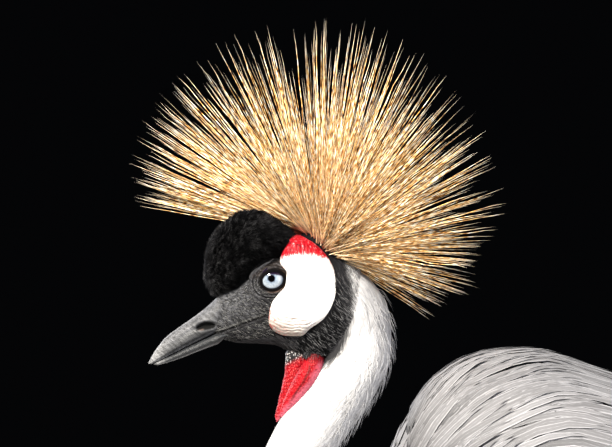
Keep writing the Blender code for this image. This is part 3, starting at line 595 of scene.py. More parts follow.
def strands(paths: Array, ups: Array, widths: Array, thick: Array, tint: Array, rng: Draw,
            places: Array) -> Form:
    """Many slim vanes or bristles, each with three sides and a tip.

    Args:
        paths: points of each one, root to tip, metres.
        ups: which way its ridge faces at each point.
        widths: width at each point, millimetres.
        thick: height of the ridge at each point, millimetres.
        tint: linear colour of each one, or of each point of each one.
        rng: the seeded draw, which gives each one a tone.
        places: each one's place on the bake map.

    Returns:
        The form.
    """
    count, stops = paths.shape[:2]
    run = unit(np.diff(paths, axis=1), TINY)
    side = unit(np.cross(run, ups[:, :-1]), TINY)
    up = np.cross(side, run)
    base = paths[:, :-1]
    half = (widths[:, :-1] / 2 * MM)[..., None] * side
    ridge = base + (thick[:, :-1] * MM)[..., None] * up
    corners = np.stack([base - half, ridge, base + half], axis=2).reshape(count, -1, 3)
    points = np.concatenate([corners, paths[:, -1:]], axis=1)
    per = points.shape[1]
    quads = [(3 * i + a, 3 * i + b, 3 * i + 3 + b, 3 * i + 3 + a)
             for i in range(stops - 2) for a, b in ((0, 1), (1, 2), (2, 0))]
    last = 3 * (stops - 2)
    tris = [(last + a, last + b, per - 1) for a, b in ((0, 1), (1, 2), (2, 0))] + [(0, 2, 1)]
    start = (np.arange(count) * per)[:, None, None]
    faces = [(np.array(tris)[None] + start).reshape(-1, 3)]
    if quads:
        faces.append((np.array(quads)[None] + start).reshape(-1, 4))
    length = np.concatenate([np.zeros((count, 1)),
                             np.cumsum(np.linalg.norm(np.diff(paths, axis=1), axis=-1), axis=1)], axis=1)
    along = length / length[:, -1:]
    spread_out = [3] * (stops - 1) + [1]
    along = np.repeat(along, spread_out, axis=1)
    far = np.repeat(length, spread_out, axis=1) / MM
    across = np.tile(np.array([-1.0, 0.0, 1.0] * (stops - 1) + [0.0]), (count, 1))
    if tint.ndim == 2:
        tint = np.repeat(tint[:, None], stops, axis=1)
    tint = np.repeat(tint, spread_out, axis=1)
    patch = places[:, None] + PATCH * np.stack([across / 2, along - 0.5], axis=-1)
    return Form(points.reshape(-1, 3), faces, tint.reshape(-1, 3),
                {"along": along.ravel(), "far": far.ravel(), "across": across.ravel(),
                 "tone": np.repeat(rng.uniform(0, 1, count), per)},
                np.clip(patch, 0, 1).reshape(-1, 2))


def bake_place(share: Array, turn: Array) -> Array:
    """Where a root lies on the unwrap of its sweep."""
    low, span = 0.01, 0.98     # clear of the map's rim
    return np.stack([low + span * np.clip(share, 0, 1), low + span * ((turn + 180) % 360) / 360], axis=-1)


@dataclass(frozen=True)
class Plume:
    """The make of one kind of body feather or tuft. Lengths in millimetres."""

    length: float
    width: float
    stations: tuple[float, ...]    # shares of the length at which it has a section
    lifts: tuple[float, float]     # off the ground at the root and at the tip
    sink: float                    # of the root below the ground
    thick: float                   # height of its ridge
    sag: float = 0.0               # drop of the tip
    vary: float = 0.15             # spread of the lengths
    stray: float = 6.0             # spread of the directions, degrees
    waist: float = 0.5             # width at the root, as a share

    REACH = (0.004, 0.996)         # share of the sweep that feathers follow before they run on straight

    def lay(self, sweep: Sweep, share: Array, turn: Array, lean: Rule, rng: Draw,
            tint: Optional[Array], base: Rule, size: Array = 1.0) -> Form:
        """Lay one on each place of a sweep.

        Args:
            sweep: the form they grow on.
            share: share of the way along of each root.
            turn: degrees round of each root.
            lean: of millimetre points and turns, the degrees that the coat turns downward from the way along.
            rng: the seeded draw.
            tint: colour of each, or None for the markings there.
            base: of millimetre points and turns, the lift of the ground, millimetres.
            size: factor on each one's length.

        Returns:
            The form.
        """
        count = len(share)
        t = np.array(self.stations)
        grow = 1 + rng.uniform(-self.vary, self.vary, count)
        length = self.length * grow * size
        stray = rng.normal(0, self.stray, count)
        share_t, turn_t = [share], [turn]
        for step in np.diff(t):
            here = np.clip(share_t[-1], *self.REACH)
            by_share, by_turn = sweep.scale(here, turn_t[-1])
            down = lean(sweep.mm(here, turn_t[-1]), turn_t[-1]) * np.sign(turn_t[-1])
            angle = np.radians(down + stray)
            share_t.append(share_t[-1] + length * step * np.cos(angle) / by_share)
            turn_t.append(turn_t[-1] + length * step * np.sin(angle) / by_turn)
        share_t, turn_t = np.stack(share_t, axis=1), np.stack(turn_t, axis=1)
        out = sweep.normal(np.clip(share_t, *self.REACH), turn_t)
        last = self.REACH[1]
        inside = np.clip(share_t, 0.0, last)
        lift = self.lifts[0] + (self.lifts[1] - self.lifts[0]) * t * rng.uniform(0.6, 1.3, (count, 1))
        lift[:, 0] = -self.sink
        ground = sweep.point(inside, turn_t)
        lift = lift + base(from_eye(ground), turn_t)
        over = np.maximum(share_t - last, 0) * by_share[:, None]
        paths = ground + out * (lift * MM)[..., None]
        paths[..., 0] += over * MM
        paths[..., 2] -= self.sag * MM * t ** 2
        swell = np.interp(t, (0, 0.35, 0.7, 1.0), (self.waist, 1.0, 0.8, 0.1))
        widths = self.width * swell * grow[:, None]
        if tint is None:
            tint = markings(sweep.mm(share, turn))
        ridge = np.full_like(widths, self.thick) * np.interp(t, (0, 0.3, 1), (0.7, 1, 0.5))
        return strands(paths, out, widths, ridge, tint, rng, bake_place(share, turn))


def feed(tree: NodeTree, node: Node, feeds: dict) -> None:
    """Set or link a node's inputs.

    Args:
        tree: the material's tree.
        node: the node.
        feeds: for each input, by name or number, a value, a socket, or a node that gives its first live output.
    """
    for key, value in feeds.items():
        if isinstance(value, Node):
            value = next(socket for socket in value.outputs if socket.enabled)
        if isinstance(value, NodeSocket):
            tree.links.new(value, node.inputs[key])
        else:
            node.inputs[key].default_value = value


def add_node(tree: NodeTree, kind: str, feeds: Optional[dict] = None, stops: Sequence[tuple[float, str]] = (),
             **settings: object) -> Node:
    """Add a node with its settings and links.

    Args:
        tree: the material's tree.
        kind: the node's type, without its prefix.
        feeds: what goes into its inputs.
        stops: place and hex colour of each stop of a ramp, its two ends first.
        settings: properties of the node.

    Returns:
        The node.
    """
    made = tree.nodes.new("ShaderNode" + kind)
    for key, value in settings.items():
        setattr(made, key, value)
    feed(tree, made, feeds or {})
    for i, (place, code) in enumerate(stops):
        ramp = made.color_ramp.elements
        stop = ramp[i] if i < 2 else ramp.new(place)
        stop.position = place
        stop.color = linear(code)
    return made


@dataclass(frozen=True)
class Finish:
    """One finish. What is the same all over is set straight on the shader, and paint gives the rest."""

    name: str
    roughness: float = 0.6
    ior: float = 1.5
    specular: float = 0.5
    coat: float = 0.0          # a film of tears or none
    subsurface: float = 0.0

    FILM_ROUGHNESS = 0.05
    LIGHT_DEPTH = 2 * MM       # how deep light goes into thin bare skin

    def material(self) -> Material:
        """The material, made once."""
        made = bpy.data.materials.get(self.name)
        if made is None:
            made = bpy.data.materials.new(self.name)
            made.use_nodes = True
            tree = made.node_tree
            even = {"Roughness": self.roughness, "IOR": self.ior, "Specular IOR Level": self.specular,
                    "Coat Weight": self.coat, "Coat Roughness": self.FILM_ROUGHNESS,
                    "Subsurface Weight": self.subsurface, "Subsurface Scale": self.LIGHT_DEPTH}
            feed(tree, tree.nodes["Principled BSDF"], even | self.paint(partial(add_node, tree)))
        return made

    def paint(self, add: Adder) -> dict:
        """What feeds the shader's colour, normal and other sockets. Each finish gives its own.

        Args:
            add: adds a node to the material's tree; not used by this base finish.

        Returns:
            A value or a node for each socket that it feeds.
        """
        return {}

    def from_eye_mm(self, add: Adder) -> Node:
        """Surface coordinates in millimetres from the eye."""
        shift = add("VectorMath", {0: add("TexCoord").outputs["Object"], 1: tuple(-EYE)}, operation="ADD")
        return add("VectorMath", {0: shift, "Scale": 1 / MM}, operation="SCALE")


@dataclass(frozen=True)
class BareSkin(Finish):
    """Bare crane skin, grown in small soft scales: the eye sees a dull hide with fine pale tops."""

    scale: float = 1.5         # one skin scale, millimetres
    lie: float = -38.0         # way that the scales are drawn out, down the face to the bill, degrees
    relief_mm: float = 0.45

    def paint(self, add: Adder) -> dict:
        """Scales and folds over the markings, only where the skin is bare."""
        tint = add("Attribute", attribute_name="tint")
        bare = add("Attribute", attribute_name="bare").outputs["Fac"]
        turned = add("Mapping", {"Vector": self.from_eye_mm(add), "Rotation": (0.0, math.radians(self.lie), 0.0)})
        drawn = add("Mapping", {"Vector": turned, "Scale": (0.38, 1.0, 1.0)})
        cells = add("TexVoronoi", {"Vector": drawn, "Scale": 1 / self.scale})
        folds = add("TexNoise", {"Vector": drawn, "Scale": 0.75, "Detail": 5.0, "Roughness": 0.62})
        tops = add("MapRange", {"Value": cells, 1: 0.08, 2: 0.5, 3: 1.3, 4: 0.6})
        patchy = add("MapRange", {"Value": folds, 1: 0.38, 2: 0.64, 3: 0.35, 4: 1.75})
        both = add("Math", {0: tops, 1: patchy}, operation="MULTIPLY")
        where = add("Mix", {0: bare, 2: 1.0, 3: both}, data_type="FLOAT")
        lit = add("VectorMath", {0: tint, 1: where}, operation="MULTIPLY")
        height = add("Math", {0: cells, 1: -0.6, 2: folds}, operation="MULTIPLY_ADD")
        return {"Base Color": lit, "Normal": add("Bump", {"Height": height, "Distance": self.relief_mm * MM})}


@dataclass(frozen=True)
class Plumage(Finish):
    """Feather vanes of keratin barbs: the eye sees a soft pale edge, a shaft line and fine slanting barbs."""

    low: float = 0.8       # brightness of the dullest feather
    high: float = 1.12     # and of the brightest
    root: float = 0.7      # brightness at the root, in its neighbours' shade
    shaft: float = 1.1     # brightness of the shaft
    edge: float = 1.0      # brightness of the vane's rims
    deep: float = 0.05     # relief of the barbs, millimetres
    barb: float = 0.7      # spacing of the barbs, millimetres, drawn about twice as coarse as real
    slant: float = 3.0     # how far a barb runs along the vane before it meets the rim, millimetres
    faint: float = 0.9     # brightness between the barbs

    def paint(self, add: Adder) -> dict:
        """Barbs that slant from the shaft, over each feather's own shade."""
        tint = add("Attribute", attribute_name="tint")
        tone, along, far, across = (add("Attribute", attribute_name=name).outputs["Fac"]
                                    for name in ("tone", "along", "far", "across"))
        out = add("Math", {0: across}, operation="ABSOLUTE")
        slanted = add("Math", {0: out, 1: -self.slant, 2: far}, operation="MULTIPLY_ADD")
        wave = add("Math", {0: slanted, 1: 2 * math.pi / self.barb}, operation="MULTIPLY")
        barbs = add("Math", {0: wave}, operation="SINE")
        level = add("MapRange", {"Value": tone, 3: self.low, 4: self.high})
        for value, low, high, first, last in (
                (along, 0.0, 0.55, self.root, 1.0), (out, 0.0, 0.16, self.shaft, 1.0),
                (out, 0.66, 0.9, 1.0, self.edge), (barbs, -1.0, 1.0, self.faint, 1.05)):
            part = add("MapRange", {"Value": value, 1: low, 2: high, 3: first, 4: last})
            level = add("Math", {0: level, 1: part}, operation="MULTIPLY")
        lit = add("VectorMath", {0: tint, 1: level}, operation="MULTIPLY")
        relief = add("Bump", {"Height": barbs, "Distance": self.deep * MM, "Strength": 0.6})
        return {"Base Color": lit, "Normal": relief}


@dataclass(frozen=True)
class CrestBristle(Finish):
    """Stiff, twisted straw-gold bristle, cream on one side and brown on the other: its turns show as bands along it,
    the cream partly painted glints and the brown partly painted shade.
    """

    turn: float = 5.5      # one twist of the bristle, millimetres

    def paint(self, add: Adder) -> dict:
        """Tan and smooth at the root, banded beyond with colour and painted glints and shade, pale and fine at the tip.
        """
        tone, along, far = (add("Attribute", attribute_name=name).outputs["Fac"] for name in ("tone", "along", "far"))
        # Each bristle reads its own stretch of the noise, far from the others'.
        offset = add("Math", {0: tone, 1: 917.0, 2: far}, operation="MULTIPLY_ADD")
        line = add("CombineXYZ", {0: offset, 1: tone})
        noise = add("TexNoise", {"Vector": line, "Scale": 1 / self.turn, "Detail": 1.0, "Roughness": 0.5})
        # The bands: the bristle's two sides in turn, with painted glints in cream and painted shade in brown.
        colour = add("ValToRGB", {0: noise}, stops=((0.33, "#3C220A"), (0.66, "#FFFDF4"), (0.41, "#A06828"),
                                                    (0.49, "#E2B46C"), (0.57, "#F9E6BE")))
        banded = add("MapRange", {"Value": along, 1: 0.15, 2: 0.5, 3: 0.25})
        rooted = add("Mix", {0: banded, 6: linear("#F3D9B0"), 7: colour}, data_type="RGBA")
        fine = add("MapRange", {"Value": along, 1: 0.82, 2: 1.0, 4: 0.75})
        tipped = add("Mix", {0: fine, 6: rooted, 7: linear("#F0EBDD")}, data_type="RGBA")
        # A wide spread of brightness from bristle to bristle: painted shade on some, painted highlight on others.
        level = add("MapRange", {"Value": tone, 3: 0.5, 4: 1.6})
        return {"Base Color": add("VectorMath", {0: tipped, 1: level}, operation="MULTIPLY")}


@dataclass(frozen=True)
class BillHorn(Finish):
    """Horn sheath, grown and worn smooth: the eye sees slate with faint long streaks and a soft gloss."""

    streak: float = 1.6    # width of a streak, millimetres
    pit: float = 0.9       # spacing of the pits, millimetres
    lie: float = -40.0     # slope of the bill, degrees
    relief_mm: float = 0.22

    def paint(self, add: Adder) -> dict:
        """Streaks drawn out along the bill, pits and worn scratches, dull inside the nostril."""
        mm = self.from_eye_mm(add)
        turned = add("Mapping", {"Vector": mm, "Rotation": (0.0, math.radians(self.lie), 0.0)})
        long = add("Mapping", {"Vector": turned, "Scale": (0.12, 1.0, 1.0)})
        streaks = add("TexNoise", {"Vector": long, "Scale": 1 / self.streak, "Detail": 5.0, "Roughness": 0.65})
        pits = add("TexVoronoi", {"Vector": mm, "Scale": 1 / self.pit})
        tint = add("Attribute", attribute_name="tint")
        worn = add("MapRange", {"Value": streaks, 1: 0.36, 2: 0.64, 3: 0.4, 4: 1.4})
        fleck = add("MapRange", {"Value": pits, 1: 0.05, 2: 0.4, 3: 0.8, 4: 1.15})
        both = add("Math", {0: worn, 1: fleck}, operation="MULTIPLY")
        lit = add("VectorMath", {0: tint, 1: both}, operation="MULTIPLY")
        hollow = add("Attribute", attribute_name="hollow").outputs["Fac"]
        dull = add("MapRange", {"Value": hollow, 3: self.roughness, 4: 1.0})
        height = add("Math", {0: streaks, 1: pits}, operation="ADD")
        relief = add("Bump", {"Height": height, "Distance": self.relief_mm * MM})
        return {"Base Color": lit, "Roughness": dull, "Normal": relief}


@dataclass(frozen=True)
class CheekSkin(Finish):
    """Thin bare skin drawn over the cheek: chalk white, streaked crimson above, ivory and freckled below."""

    relief_mm: float = 0.25

    def paint(self, add: Adder) -> dict:
        """The red cap's ragged edge, its upright streaks, the ivory lobe with painted shade in its creases, flush and
        freckles.
        """
        mm = self.from_eye_mm(add)
        x, _, z = add("SeparateXYZ", {0: mm}).outputs
        rim, fold = (add("Attribute", attribute_name=name).outputs["Fac"] for name in ("rim", "fold"))
        upright = add("Mapping", {"Vector": mm, "Scale": (1.0, 1.0, 0.14)})
        streaks = add("TexNoise", {"Vector": upright, "Scale": 0.75, "Detail": 3.0})
        spots = add("TexNoise", {"Vector": mm, "Scale": 0.42, "Detail": 4.0, "Roughness": 0.7})
        from_middle = add("Math", {0: x, 1: -20.0}, operation="ADD")
        squared = add("Math", {0: from_middle, 1: 2.0}, operation="POWER")
        arc = add("Math", {0: squared, 1: 0.014, 2: z}, operation="MULTIPLY_ADD")
        ragged = add("Math", {0: streaks, 1: 9.0, 2: arc}, operation="MULTIPLY_ADD")
        low = add("Math", {0: x, 1: 0.35, 2: z}, operation="MULTIPLY_ADD")
        blush = add("MapRange", {"Value": ragged, 1: 12.0, 2: 20.6, 4: 0.30})
        ivory = add("MapRange", {"Value": low, 1: -16.0, 2: -29.0, 4: 0.9})
        flush = add("MapRange", {"Value": spots, 1: 0.46, 2: 0.62, 4: 0.6})
        flushed = add("Math", {0: flush, 1: ivory}, operation="MULTIPLY")
        front = add("MapRange", {"Value": x, 1: 14.0, 2: 2.0})
        ahead = add("Math", {0: flushed, 1: front}, operation="MULTIPLY")
        rimmed = add("Math", {0: rim, 1: 0.28, 2: spots}, operation="MULTIPLY_ADD")
        freckle = add("MapRange", {"Value": rimmed, 1: 0.70, 2: 0.79, 4: 0.8})
        red = add("MapRange", {"Value": ragged, 1: 20.6, 2: 22.6})
        cap = add("ValToRGB", {0: streaks},
                  stops=((0.34, "#6A0010"), (0.70, "#DE8E92"), (0.47, "#A60819"), (0.58, "#B01322")))
        colour = linear("#FBF8F6")
        # fold carries painted shade in the lobe's creases.
        for where, other in ((blush, linear("#EFA9A4")), (ivory, linear("#A8A199")), (ahead, linear("#C98A82")),
                             (freckle, linear("#A8463C")), (fold, linear("#6E5A52")), (red, cap)):
            colour = add("Mix", {0: where, 6: colour, 7: other}, data_type="RGBA")
        relief = add("Bump", {"Height": streaks, "Distance": self.relief_mm * MM, "Strength": 0.5})
        return {"Base Color": colour, "Normal": relief}


@dataclass(frozen=True)
class WattleSkin(Finish):
    """Loose throat skin thick with warts: saturated red with a pale bead on each wart."""

    wart: float = 1.3      # spacing of the warts, millimetres
    relief_mm: float = 0.5

    def paint(self, add: Adder) -> dict:
        """Pale beads on red: plain red in the crease, pinker by the neck, sooty under the jaw, and painted shade dark
        under the jaw and in the groove behind the keel.
        """
        crease, grey, rim, dark = (add("Attribute", attribute_name=name).outputs["Fac"]
                                   for name in ("crease", "grey", "rim", "dark"))
        beads = add("TexVoronoi", {"Vector": self.from_eye_mm(add), "Scale": 1 / self.wart, "Randomness": 0.85})
        soot = add("ValToRGB", {0: beads}, stops=((0.12, "#C9C7C6"), (0.45, "#1A1A1C")))
        colour = add("ValToRGB", {0: beads},
                     stops=((0.0, "#E6A8A0"), (0.62, "#86000E"), (0.13, "#D4605C"), (0.26, "#B40618")))
        # dark carries painted shade.
        for where, other in ((crease, linear("#A80012")), (grey, soot), (rim, linear("#CC5F72")),
                             (dark, linear("#2A0206"))):
            colour = add("Mix", {0: where, 6: colour, 7: other}, data_type="RGBA")
        low = add("Math", {0: beads, 1: -1.0}, operation="MULTIPLY")
        return {"Base Color": colour, "Normal": add("Bump", {"Height": low, "Distance": self.relief_mm * MM})}


@dataclass(frozen=True)
class WetEye(Finish):
    """A live eyeball under tears: a pale blue iris, black pupil and the upper lid's shade, very glossy."""

    def paint(self, add: Adder) -> dict:
        """Rings by distance from the pupil's axis, in millimetres over ten, dark under the upper lid."""
        ring = add("Attribute", attribute_name="ring").outputs["Fac"]
        mm = self.from_eye_mm(add)
        x, _, z = add("SeparateXYZ", {0: mm}).outputs
        rays = add("TexNoise", {"Vector": mm, "Scale": 0.9, "Detail": 4.0})
        ragged = add("Math", {0: rays, 1: 0.05, 2: ring}, operation="MULTIPLY_ADD")
        rings = add("ValToRGB", {0: ragged},
                    stops=((0.245, "#020203"), (0.86, "#15121A"), (0.27, "#5F6C7F"), (0.33, "#8492A2"),
                           (0.58, "#9AA4AF"), (0.74, "#5A6577")))
        flecks = add("MapRange", {"Value": rays, 1: 0.35, 2: 0.65, 3: 0.8, 4: 1.15})
        lit = add("VectorMath", {0: rings, 1: flecks}, operation="MULTIPLY")
        bow = add("Math", {0: x, 1: x}, operation="MULTIPLY")
        height = add("Math", {0: bow, 1: 0.03, 2: z}, operation="MULTIPLY_ADD")
        under = add("MapRange", {"Value": height, 1: 3.1, 2: 4.1})
        return {"Base Color": add("Mix", {0: under, 6: lit, 7: linear("#1B1226")}, data_type="RGBA")}


@dataclass(frozen=True)
class ScaleHorn(Finish):
    """Horny scales of the bare legs: near-black plates with greyer worn edges and a low gloss."""

    plate: float = 2.6     # one scale, millimetres
    dark: str = "#17181B"
    worn: str = "#4A4B50"
    relief_mm: float = 0.3

    def paint(self, add: Adder) -> dict:
        """Small plates between dark furrows."""
        mm = self.from_eye_mm(add)
        plates = add("TexVoronoi", {"Vector": mm, "Scale": 1 / self.plate}, feature="DISTANCE_TO_EDGE")
        dust = add("TexNoise", {"Vector": mm, "Scale": 0.5, "Detail": 4.0})
        both = add("Math", {0: plates, 1: 0.9, 2: dust}, operation="MULTIPLY_ADD")
        colour = add("ValToRGB", {0: both}, stops=((0.38, self.dark), (0.95, self.worn)))
        edge = add("MapRange", {"Value": plates, 1: 0.0, 2: 0.16})
        return {"Base Color": colour, "Normal": add("Bump", {"Height": edge, "Distance": self.relief_mm * MM})}


@dataclass(frozen=True)
class StudioPaper(Finish):
    """Matt pale paper, rolled and laid flat: the eye sees an even, dull white."""

    def paint(self, add: Adder) -> dict:
        """A faint tooth."""
        tooth = add("TexNoise", {"Vector": self.from_eye_mm(add), "Scale": 0.8, "Detail": 3.0})
        return {"Base Color": add("ValToRGB", {0: tooth}, stops=((0.2, "#A3A29F"), (0.8, "#ABAAA7")))}


# Keratin has an IOR near 1.55 and wet skin or a tear film one near 1.4. Down scatters, so its gloss is held low.
BARE_SKIN = BareSkin("bare_skin_scaled", roughness=0.8, ior=1.45, specular=0.1)
# Dense short down, grown upright: it swallows light and leaves a black with a faint grey nap.
VELVET_DOWN = Plumage("velvet_down_black", roughness=0.85, ior=1.55, specular=0.03, low=0.3, high=1.7, root=0.3,
                      shaft=1.0)
# Fine silky neck feathers, preened flat: an even white with faint streaks.
SOFT_PLUMAGE = Plumage("soft_plumage", roughness=0.7, ior=1.55, specular=0.3, low=0.72, high=1.1, root=0.9,
                       shaft=1.04, deep=0.015)
# Short stiff hairs round the cheek: dark grey streaks that catch a little light.
FACE_PLUMAGE = Plumage("face_plumage", roughness=0.8, ior=1.55, specular=0.08, low=0.4, high=1.6, root=0.45,
                       shaft=1.0)
# Lance-shaped body plumes, paler at the rim: long bright lines over roots darkened with painted shade, with coarse
# barbs.
LANCE_PLUMAGE = Plumage("lance_plumage", roughness=0.6, ior=1.55, specular=0.3, low=0.7, high=1.1, root=0.42,
                        shaft=1.35, edge=2.0, deep=0.03, barb=5.0, slant=18.0, faint=0.72)
# Rounded wing coverts, lapped like tiles: smooth white with only a hint of a rim.
COVERT_PLUMAGE = Plumage("covert_plumage", roughness=0.6, ior=1.55, specular=0.3, low=0.92, high=1.04, root=0.85,
                         shaft=1.06, edge=1.08, deep=0.03, barb=1.1, slant=6.0)
# Loose grey flank and belly feathers: soft scallops with paler rims.
FLANK_PLUMAGE = Plumage("flank_plumage", roughness=0.65, ior=1.55, specular=0.3, low=0.86, high=1.06, root=0.8,
                        shaft=1.1, edge=1.25, deep=0.03, barb=1.3, slant=6.0, faint=0.88)
# Firm flight feathers, zipped flat: a low gloss, a dark shaft and close barbs.
FLIGHT_PLUMAGE = Plumage("flight_plumage", roughness=0.5, ior=1.55, specular=0.45, low=0.8, high=1.15, root=0.8,
                         shaft=0.6, barb=1.1)
CREST_GOLD = CrestBristle("crest_bristle_gold", roughness=0.42, ior=1.55, specular=0.45)
BILL_SLATE = BillHorn("bill_horn_slate", roughness=0.5, ior=1.55, specular=0.3)
CHEEK_WHITE = CheekSkin("cheek_skin_white", roughness=0.55, ior=1.4, specular=0.28, subsurface=0.05)
WATTLE_RED = WattleSkin("wattle_skin_red", roughness=0.5, ior=1.4, specular=0.28, subsurface=0.05)
EYE_PALE = WetEye("eye_wet_pale", roughness=0.12, ior=1.38, coat=1.0)
LEG_HORN = ScaleHorn("leg_scale_horn", roughness=0.5, ior=1.55)
# A claw has no scales, so its plates are drawn wider than the claw and leave only a slow change of shade.
CLAW_HORN = ScaleHorn("claw_horn_worn", roughness=0.35, ior=1.55, plate=9.0, dark="#1C1A18", worn="#4F4A44")
PAPER = StudioPaper("studio_paper", roughness=0.9)


@dataclass
class Limb:
    """A round limb through places on one side of the bird."""

    path: Array       # x, z, y of each place, millimetres from the eye
    radii: Array
    sides: int = 28
    rings: int = 60

    def form(self, relief: Optional[Rule] = None) -> Form:
        """The limb's surface.

        Args:
            relief: gives the lift of millimetres along and of the angle from its front, both arrays.

        Returns:
            The form.
        """
        rows = cubic_table(np.column_stack([self.path, self.radii]), self.rings)
        centre = world(rows[:, 0], rows[:, 1], rows[:, 2])
        run = unit(np.gradient(centre, axis=0))
        ahead = np.array([-1.0, 0.0, 0.0]) if abs(run[:, 0]).mean() < 0.8 else np.array([0.0, 0.0, 1.0])
        front = unit(ahead - run * (run @ ahead)[:, None])
        side = np.cross(run, front)
        turn = np.linspace(0, 2 * np.pi, self.sides, endpoint=False)
        step = np.concatenate([[0], np.cumsum(np.linalg.norm(np.diff(centre, axis=0), axis=1))]) / MM
        far, angle = np.meshgrid(step, turn, indexing="ij")
        radius = rows[:, 3][:, None] + (relief(far, angle) if relief else 0)
        ring = front[:, None] * np.cos(angle)[..., None] + side[:, None] * np.sin(angle)[..., None]
        return lattice(centre[:, None] + ring * (radius * MM)[..., None])


def scutes(far: Array, angle: Array) -> Array:
    """Overlapping plates down the front of a limb."""
    saw = (far / SCUTE) % 1.0
    front = np.clip(np.cos(angle) * 1.6, 0, 1)
    return front * (0.35 * saw - 0.5 * (saw > 0.93))


def thigh_limb(side: Side) -> Limb:
    """The feathered thigh's own form."""
    hip, knee = (np.array((*place, side.value * y)) for place, y in ((HIP, LEG_Y - 4), (CUFF, LEG_Y)))
    shares = np.array([0, 0.28, 0.52, 0.78, 1.0])[:, None]
    return Limb(hip + (knee - hip) * shares, np.array([30, 30, 25, 16, 9.0]))


def ellipsoid(centre: tuple[float, float, float], radii: tuple[float, float, float], rings: int = 40,
              sides: int = 64) -> Form:
    """A ball with its poles on the y axis.

    Args:
        centre: x, z, y of its middle, millimetres from the eye.
        radii: along x, y and z.
        rings: from pole to pole.
        sides: points of each ring.

    Returns:
        The form.
    """
    down, turn = np.meshgrid(np.linspace(0.001, np.pi - 0.001, rings),
                             np.linspace(0, 2 * np.pi, sides, endpoint=False), indexing="ij")
    x = centre[0] + radii[0] * np.sin(down) * np.cos(turn)
    z = centre[1] + radii[2] * np.sin(down) * np.sin(turn)
    y = centre[2] + radii[1] * np.cos(down)
    return lattice(world(x, z, y))


